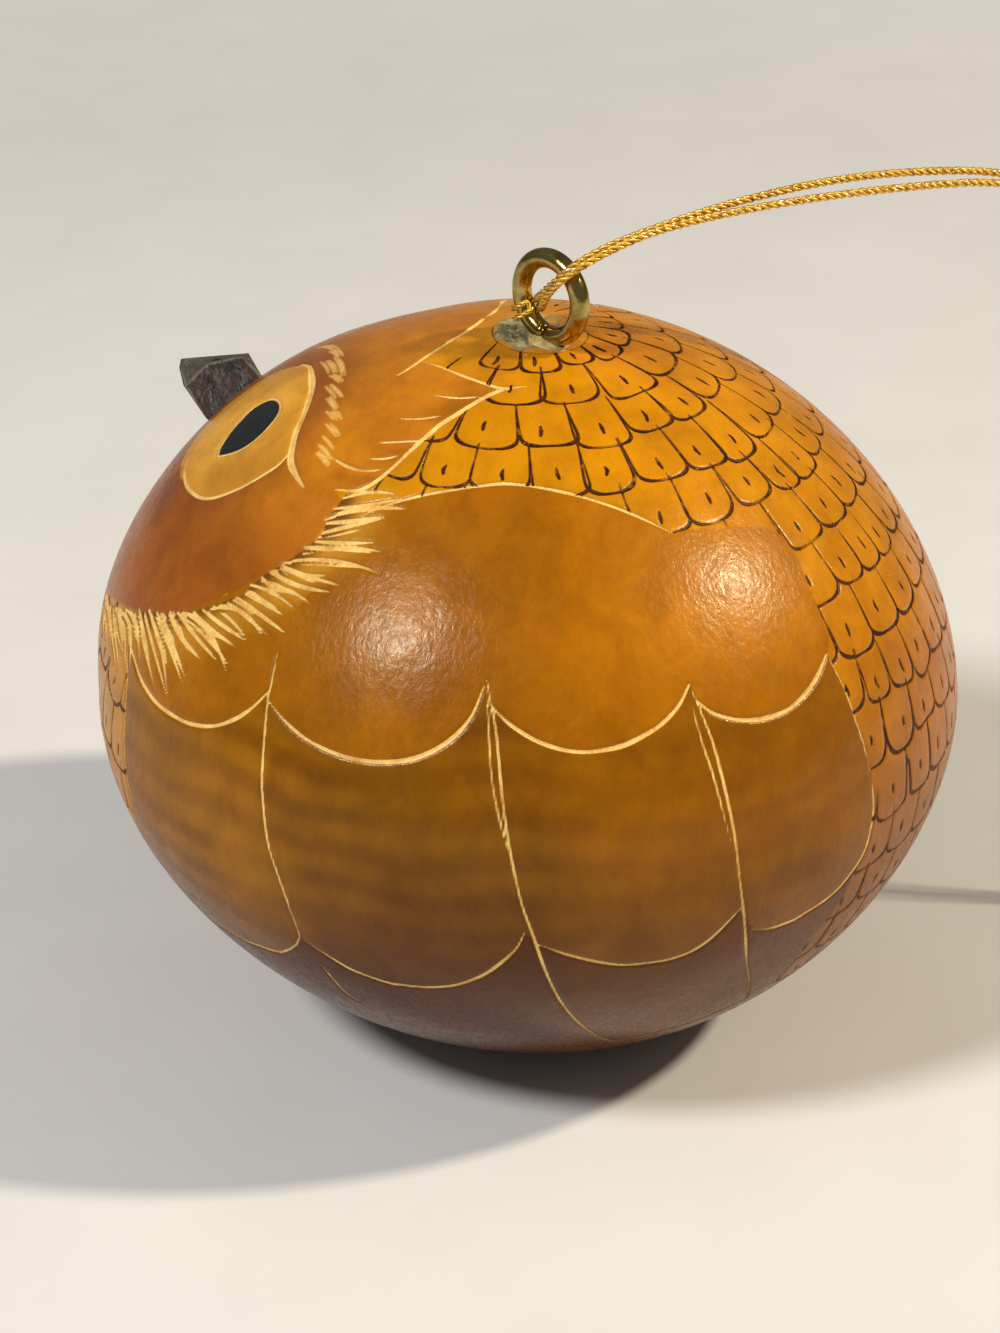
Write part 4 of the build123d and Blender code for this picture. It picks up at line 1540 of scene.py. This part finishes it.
def beak_shader():
    s = Shader("beak_wood")
    grain = s.noise(900, 4, 0.65, s.stretched((1, 0.4, 1)))
    fleck = s.noise(2100, 3, 0.6)
    dark = s.mix(s.spread(grain, 0.35, 0.7), rgb(26, 17, 11), rgb(62, 42, 29))
    dark = s.mix(s.spread(fleck, 0.58, 0.70, 0.0, 0.6), dark, rgb(112, 70, 46))
    pale = s.mix(s.spread(grain, 0.3, 0.7), rgb(54, 50, 40), rgb(88, 84, 70))
    tone = s.mix(s.attribute("smooth_cut"), dark, pale)
    # Painted highlight: the edges are mixed towards a pale tone, broken up by the flecks.
    edge_highlight = s.math("MULTIPLY", s.attribute("edge_highlight"), s.spread(fleck, 0.3, 0.6, 0.15, 0.75))
    s.set("Base Color", s.mix(edge_highlight, tone, rgb(128, 116, 92)))
    s.set("Roughness", s.spread(grain, 0.3, 0.7, 0.30, 0.55))
    s.set("Normal", s.bump(s.noise(2400, 4, 0.65), 0.00012, 0.8))
    return s


make_beak()


# Stem: rough cut end of the stalk, with putty on its right side.
def polar_plug(name, centre, radius, top, bottom, rings=26, columns=120):
    """Round plug whose upper face follows the function top(x, y)."""
    points, faces = [], []
    lons = np.arange(columns) * 2 * np.pi / columns
    for reach in np.linspace(0, radius, rings + 1)[1:]:
        x, y = centre[0] + reach * np.cos(lons), centre[1] + reach * np.sin(lons)
        points.append(np.stack([x, y, top(x, y)], axis=1))
    edge = points[-1]
    for part in (0.3, 0.65, 1.0):
        ring = edge.copy()
        ring[:, 2] = edge[:, 2] + (bottom - edge[:, 2]) * part
        points.append(ring)
    count = len(points)
    hubs = [[*centre, top(centre[:1], centre[1:])[0]], [*centre, bottom]]
    cloud = np.concatenate([*points, hubs])
    ids = np.arange(count * columns).reshape(count, columns)
    for one, two in zip(ids, ids[1:]):
        faces += [tuple(f) for f in np.stack([one, two, np.roll(two, -1), np.roll(one, -1)], axis=1)]
    faces += [(count * columns, a, b) for a, b in zip(ids[0], np.roll(ids[0], -1))]
    faces += [(count * columns + 1, b, a) for a, b in zip(ids[-1], np.roll(ids[-1], -1))]
    return add_mesh(name, cloud, faces, "root")


def crown_height(x, y, grow=0.0):
    """Height of the crown over a place, or of a crown that is larger all round."""
    level = 1 - (np.hypot(x, y) / (BODY_RADIUS + grow)) ** CROWN_POWER
    return WIDEST_HEIGHT + (CROWN_RISE + grow) * level ** (1 / CROWN_POWER)


def make_stem():
    def top(x, y):
        place = np.stack([x, y, np.zeros_like(x)], axis=-1)
        reach = np.hypot(x - STEM[0], y - STEM[1])
        angle = np.arctan2(y - STEM[1], x - STEM[0])
        ridges = 0.10 * np.sin(9 * angle + 2.2 * lattice_noise(place, 2.0, 91))
        rough = 0.16 * lattice_noise(place, 0.9, 92) + 0.10 * lattice_noise(place, 0.45, 93)
        rim = 0.16 * step_up(reach, 2.7, 3.3) * (1 - step_up(reach, 3.5, 3.8))
        dip = 0.30 - rim + 0.5 * (ridges * step_up(reach, 0.6, 2.0) + rough)
        return crown_height(x, y, STEM_PROUD) - np.clip(dip, 0.0, 0.8)

    bottom = WIDEST_HEIGHT + CROWN_RISE - STEM_DEPTH
    obj = polar_plug("stem_end", STEM, STEM_RADIUS - STEM_GAP, top, bottom)
    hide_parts("stem_stub")
    points, _ = mesh_points(obj.data)
    beside = (points[:, :2] - STEM) @ RIGHT[:2]
    reach = np.hypot(points[:, 0] - STEM[0], points[:, 1] - STEM[1])
    reach = reach + 0.5 * lattice_noise(points.astype(float), 1.2, 94)
    store(obj.data, "beige", step_up(beside, -0.5, 0.8))
    store(obj.data, "rind", np.maximum(step_up(reach, 3.3, 3.8), step_up(beside, 1.5, 2.2)))
    dress(obj, stem_shader())


def stem_shader():
    s = Shader("stem_end")
    coarse = s.noise(900, 4, 0.65)
    fine = s.noise(3500, 3, 0.6)
    tone = s.mix(s.spread(coarse, 0.38, 0.62), rgb(86, 80, 52), rgb(158, 148, 108))
    tone = s.mix(s.spread(fine, 0.55, 0.75, 0, 0.7), tone, rgb(206, 194, 150))
    tone = s.mix(s.patches(1700, 2, 0.5, 0.60, 0.72, 0, 0.75), tone, rgb(52, 36, 20))
    tone = s.mix(s.math("MULTIPLY", s.attribute("beige"), 0.8), tone, rgb(206, 158, 84))
    rind = s.mix(coarse, rgb(178, 110, 6), rgb(206, 134, 8))
    tone = s.mix(s.math("MULTIPLY", s.attribute("rind"), 0.95), tone, rind)
    s.set("Base Color", tone)
    s.set("Roughness", s.spread(fine, 0.3, 0.7, 0.5, 0.8))
    s.set("Specular IOR Level", 0.2)
    s.set("Normal", s.bump(fine, 0.0002, 0.8))
    return s


make_stem()


PUTTY_RADIUS = 1.75
PUTTY_RISE = 0.62
PUTTY_ASIDE = 0.35
PUTTY_UNDER_RING = 4.6


def make_putty():
    centre = RING_CENTRE[:2] - PUTTY_ASIDE * BACK[:2]

    def top(x, y):
        place = np.stack([x, y, np.zeros_like(x)], axis=-1)
        reach = np.hypot(x - centre[0], y - centre[1])
        dome = PUTTY_RISE * (1 - step_up(reach, 0.7, PUTTY_RADIUS))
        lumps = dome * (0.8 + 0.2 * lattice_noise(place, 0.8, 95)) + 0.05 * lattice_noise(place, 0.4, 96)
        return crown_height(x, y, STEM_PROUD) - 0.06 + lumps

    bottom = RING_CENTRE[2] - PUTTY_UNDER_RING
    obj = polar_plug("putty_collar", centre, PUTTY_RADIUS, top, bottom, 18, 72)
    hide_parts("eye_putty")
    s = Shader("putty")
    blend = s.noise(1300, 4, 0.6)
    tone = s.mix(s.spread(blend, 0.35, 0.65), rgb(150, 122, 66), rgb(204, 178, 120))
    tone = s.mix(s.patches(3000, 2, 0.6, 0.6, 0.75, 0, 0.6), tone, rgb(96, 76, 40))
    s.set("Base Color", tone)
    s.set("Roughness", s.spread(blend, 0.3, 0.7, 0.35, 0.6))
    s.set("Normal", s.bump(s.noise(2600, 4, 0.6), 0.00015, 0.8))
    dress(obj, s)


make_putty()


# Screw eye: bent wire, neck and thread.
WIRE_SIDES = 28
SHANK_LENGTH = 9.5
SHANK_POINT = 1.8
NECK = 1.2
THREAD_PITCH = 0.8
THREAD_DEPTH = 0.19


def make_screw_eye():
    turns = np.radians(np.linspace(-90, 262, 150))
    wire = np.array([ring_point(RING_RADIUS * math.cos(t), RING_RADIUS * math.sin(t), 0) for t in turns])
    normal = ring_point(0, 0, 1) - RING_CENTRE
    circle = [2 * math.pi * turn / WIRE_SIDES for turn in range(WIRE_SIDES)]
    points = []
    for index, place in enumerate(wire):
        out = place - RING_CENTRE
        out /= np.linalg.norm(out)
        end_gap = min(index, len(wire) - 1 - index)
        reach = WIRE_RADIUS * (1 if index < 75 else min(1, 0.80 + 0.20 * end_gap / 2))
        for angle in circle:
            points.append(place + reach * (math.cos(angle) * out + math.sin(angle) * normal))
    faces = tube_faces(len(wire), WIRE_SIDES)
    faces.append(end_face(0, WIRE_SIDES)[::-1])
    faces.append(end_face(len(points) - WIRE_SIDES, WIRE_SIDES))
    bottom = RING_CENTRE[2] - RING_RADIUS
    tip = bottom - SHANK_LENGTH
    thread_top = bottom - WIRE_RADIUS - NECK
    heights = np.concatenate([[bottom + 0.1], np.linspace(bottom, tip, 140)])
    base = len(points)
    for height in heights:
        deep = min(1, max(0, (thread_top - height) / 0.5))
        point = min(1, (height - tip) / SHANK_POINT + 0.04)
        for angle in circle:
            groove = 0.5 + 0.5 * math.cos(2 * math.pi * (height / THREAD_PITCH) - angle)
            reach = (WIRE_RADIUS - THREAD_DEPTH * deep * groove**1.5) * point
            points.append(np.array([
                RING_CENTRE[0] + reach * math.cos(angle), RING_CENTRE[1] + reach * math.sin(angle), height,
            ]))
    faces += [face[::-1] for face in tube_faces(len(heights), WIRE_SIDES, base)]
    faces.append(end_face(base, WIRE_SIDES))
    faces.append(end_face(len(points) - WIRE_SIDES, WIRE_SIDES)[::-1])
    obj = add_mesh("brass_ring", points, faces, "root")
    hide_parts("screw_eye")
    s = Shader("plated_brass")
    dull = s.noise(420, 4, 0.6)
    tone = s.mix(s.spread(dull, 0.35, 0.65), rgb(138, 118, 60), rgb(186, 164, 96))
    tone = s.mix(s.patches(1500, 3, 0.6, 0.55, 0.75, 0, 0.5), tone, rgb(110, 88, 44))
    s.set("Base Color", tone)
    s.set("Metallic", 1.0)
    s.set("Roughness", s.patches(1900, 3, 0.6, 0.3, 0.7, 0.10, 0.24))
    s.set("Normal", s.bump(s.noise(900, 3, 0.5), 0.00006, 0.5))
    dress(obj, s)


make_screw_eye()


# Pieces inside and under the beak keep their CAD shapes.
def small_shaders():
    glue = Shader("hard_glue")
    glue.set("Base Color", glue.mix(glue.patches(800, 3, 0.5, 0.3, 0.7), rgb(120, 84, 40), rgb(176, 132, 70)))
    glue.set("Roughness", glue.patches(1600, 2, 0.5, 0.3, 0.7, 0.12, 0.3))
    glue.set("Normal", glue.bump(glue.noise(700, 3, 0.5), 0.0002, 0.6))
    dress_node("beak_glue", glue)
    pulp = Shader("dried_pulp")
    strand = pulp.noise(900, 5, 0.7, pulp.stretched((1, 1, 0.3)))
    pulp.set("Base Color", pulp.mix(pulp.spread(strand, 0.3, 0.7), rgb(150, 114, 66), rgb(226, 202, 152)))
    pulp.set("Roughness", pulp.spread(strand, 0.3, 0.7, 0.7, 0.95))
    pulp.set("Normal", pulp.bump(strand, 0.0006, 1.0))
    dress_node("dried_pulp", pulp)
    seed = Shader("seed_coat")
    ripple = seed.noise(1100, 4, 0.6)
    seed.set("Base Color", seed.mix(seed.spread(ripple, 0.35, 0.65), rgb(196, 166, 112), rgb(232, 212, 164)))
    seed.set("Roughness", seed.spread(ripple, 0.3, 0.7, 0.45, 0.7))
    seed.set("Normal", seed.bump(ripple, 0.0002, 0.7))
    for number in range(1, 13):
        dress_node(f"seed_{number:02d}", seed)


small_shaders()


# Floor, backdrop and light.
FLOOR_HALF = 1.6
FLOOR_HEIGHT = -0.0002


def make_floor():
    """Pale table that fades into the backdrop where the camera looks at it."""
    mesh = bpy.data.meshes.new("floor")
    corners = ((-1, -1), (1, -1), (1, 1), (-1, 1))
    mesh.from_pydata([(x * FLOOR_HALF, y * FLOOR_HALF, FLOOR_HEIGHT) for x, y in corners], [], [(0, 1, 2, 3)])
    floor = put("floor", mesh)
    s = Shader("floor")
    s.set("Base Color", s.mix(s.patches(60, 3, 0.5, 0.3, 0.7), (0.70, 0.695, 0.69), (0.73, 0.725, 0.72)))
    s.set("Roughness", 0.75)
    far = s.tree.nodes.new("ShaderNodeVectorMath")
    far.operation = "LENGTH"
    s.link(s.place, far.inputs[0])
    seen = s.tree.nodes.new("ShaderNodeLightPath").outputs["Is Camera Ray"]
    s.set("Emission Color", (0.80, 0.79, 0.78))
    s.set("Emission Strength", s.math("MULTIPLY", seen, s.spread(far.outputs["Value"], 0.25, 1.0, 0.0, 0.8)))
    dress(floor, s)


def make_world():
    """Dim surroundings that the camera itself sees as a pale wall."""
    world = bpy.data.worlds.new("studio")
    bpy.context.scene.world = world
    world.use_nodes = True
    tree = world.node_tree
    back = tree.nodes["Background"]
    path = tree.nodes.new("ShaderNodeLightPath")
    mix = tree.nodes.new("ShaderNodeMix")
    mix.data_type = "RGBA"
    sockets = {i.identifier: i for i in mix.inputs}
    sockets["A_Color"].default_value = (0.17, 0.165, 0.16, 1)
    sockets["B_Color"].default_value = (0.80, 0.79, 0.80, 1)
    tree.links.new(path.outputs["Is Camera Ray"], sockets["Factor_Float"])
    tree.links.new([o for o in mix.outputs if o.identifier == "Result_Color"][0], back.inputs["Color"])
    back.inputs["Strength"].default_value = 1.0


LAMP_AIM = Vector((0, 0, 0.03))


def reflect_lamp(name, pixel, far, size, power, tone):
    """Soft lamp whose reflection lies at that place of the photograph."""
    point = lean(cast([pixel]))[0]
    normal = outward(unlean(point[None]))[0]
    view = EYE_POINT - point
    view /= np.linalg.norm(view)
    ray = 2 * normal.dot(view) * normal - view
    data = bpy.data.lights.new(name, "AREA")
    data.shape = "DISK"
    data.size = size
    data.energy = power
    data.color = tone
    lamp = put(name, data)
    place = Vector(point * MM) + Vector(ray) * far
    lamp.location = place
    lamp.rotation_euler = (LAMP_AIM - place).to_track_quat("-Z", "Y").to_euler()


make_floor()
make_world()
reflect_lamp("warm_lamp", pixel=(735, 582), far=0.75, size=0.055, power=5.0, tone=(1.0, 0.88, 0.66))
reflect_lamp("window_lamp", pixel=(398, 636), far=0.80, size=0.15, power=5.2, tone=(1.0, 0.98, 0.95))

bpy.context.scene.view_settings.view_transform = "Standard"
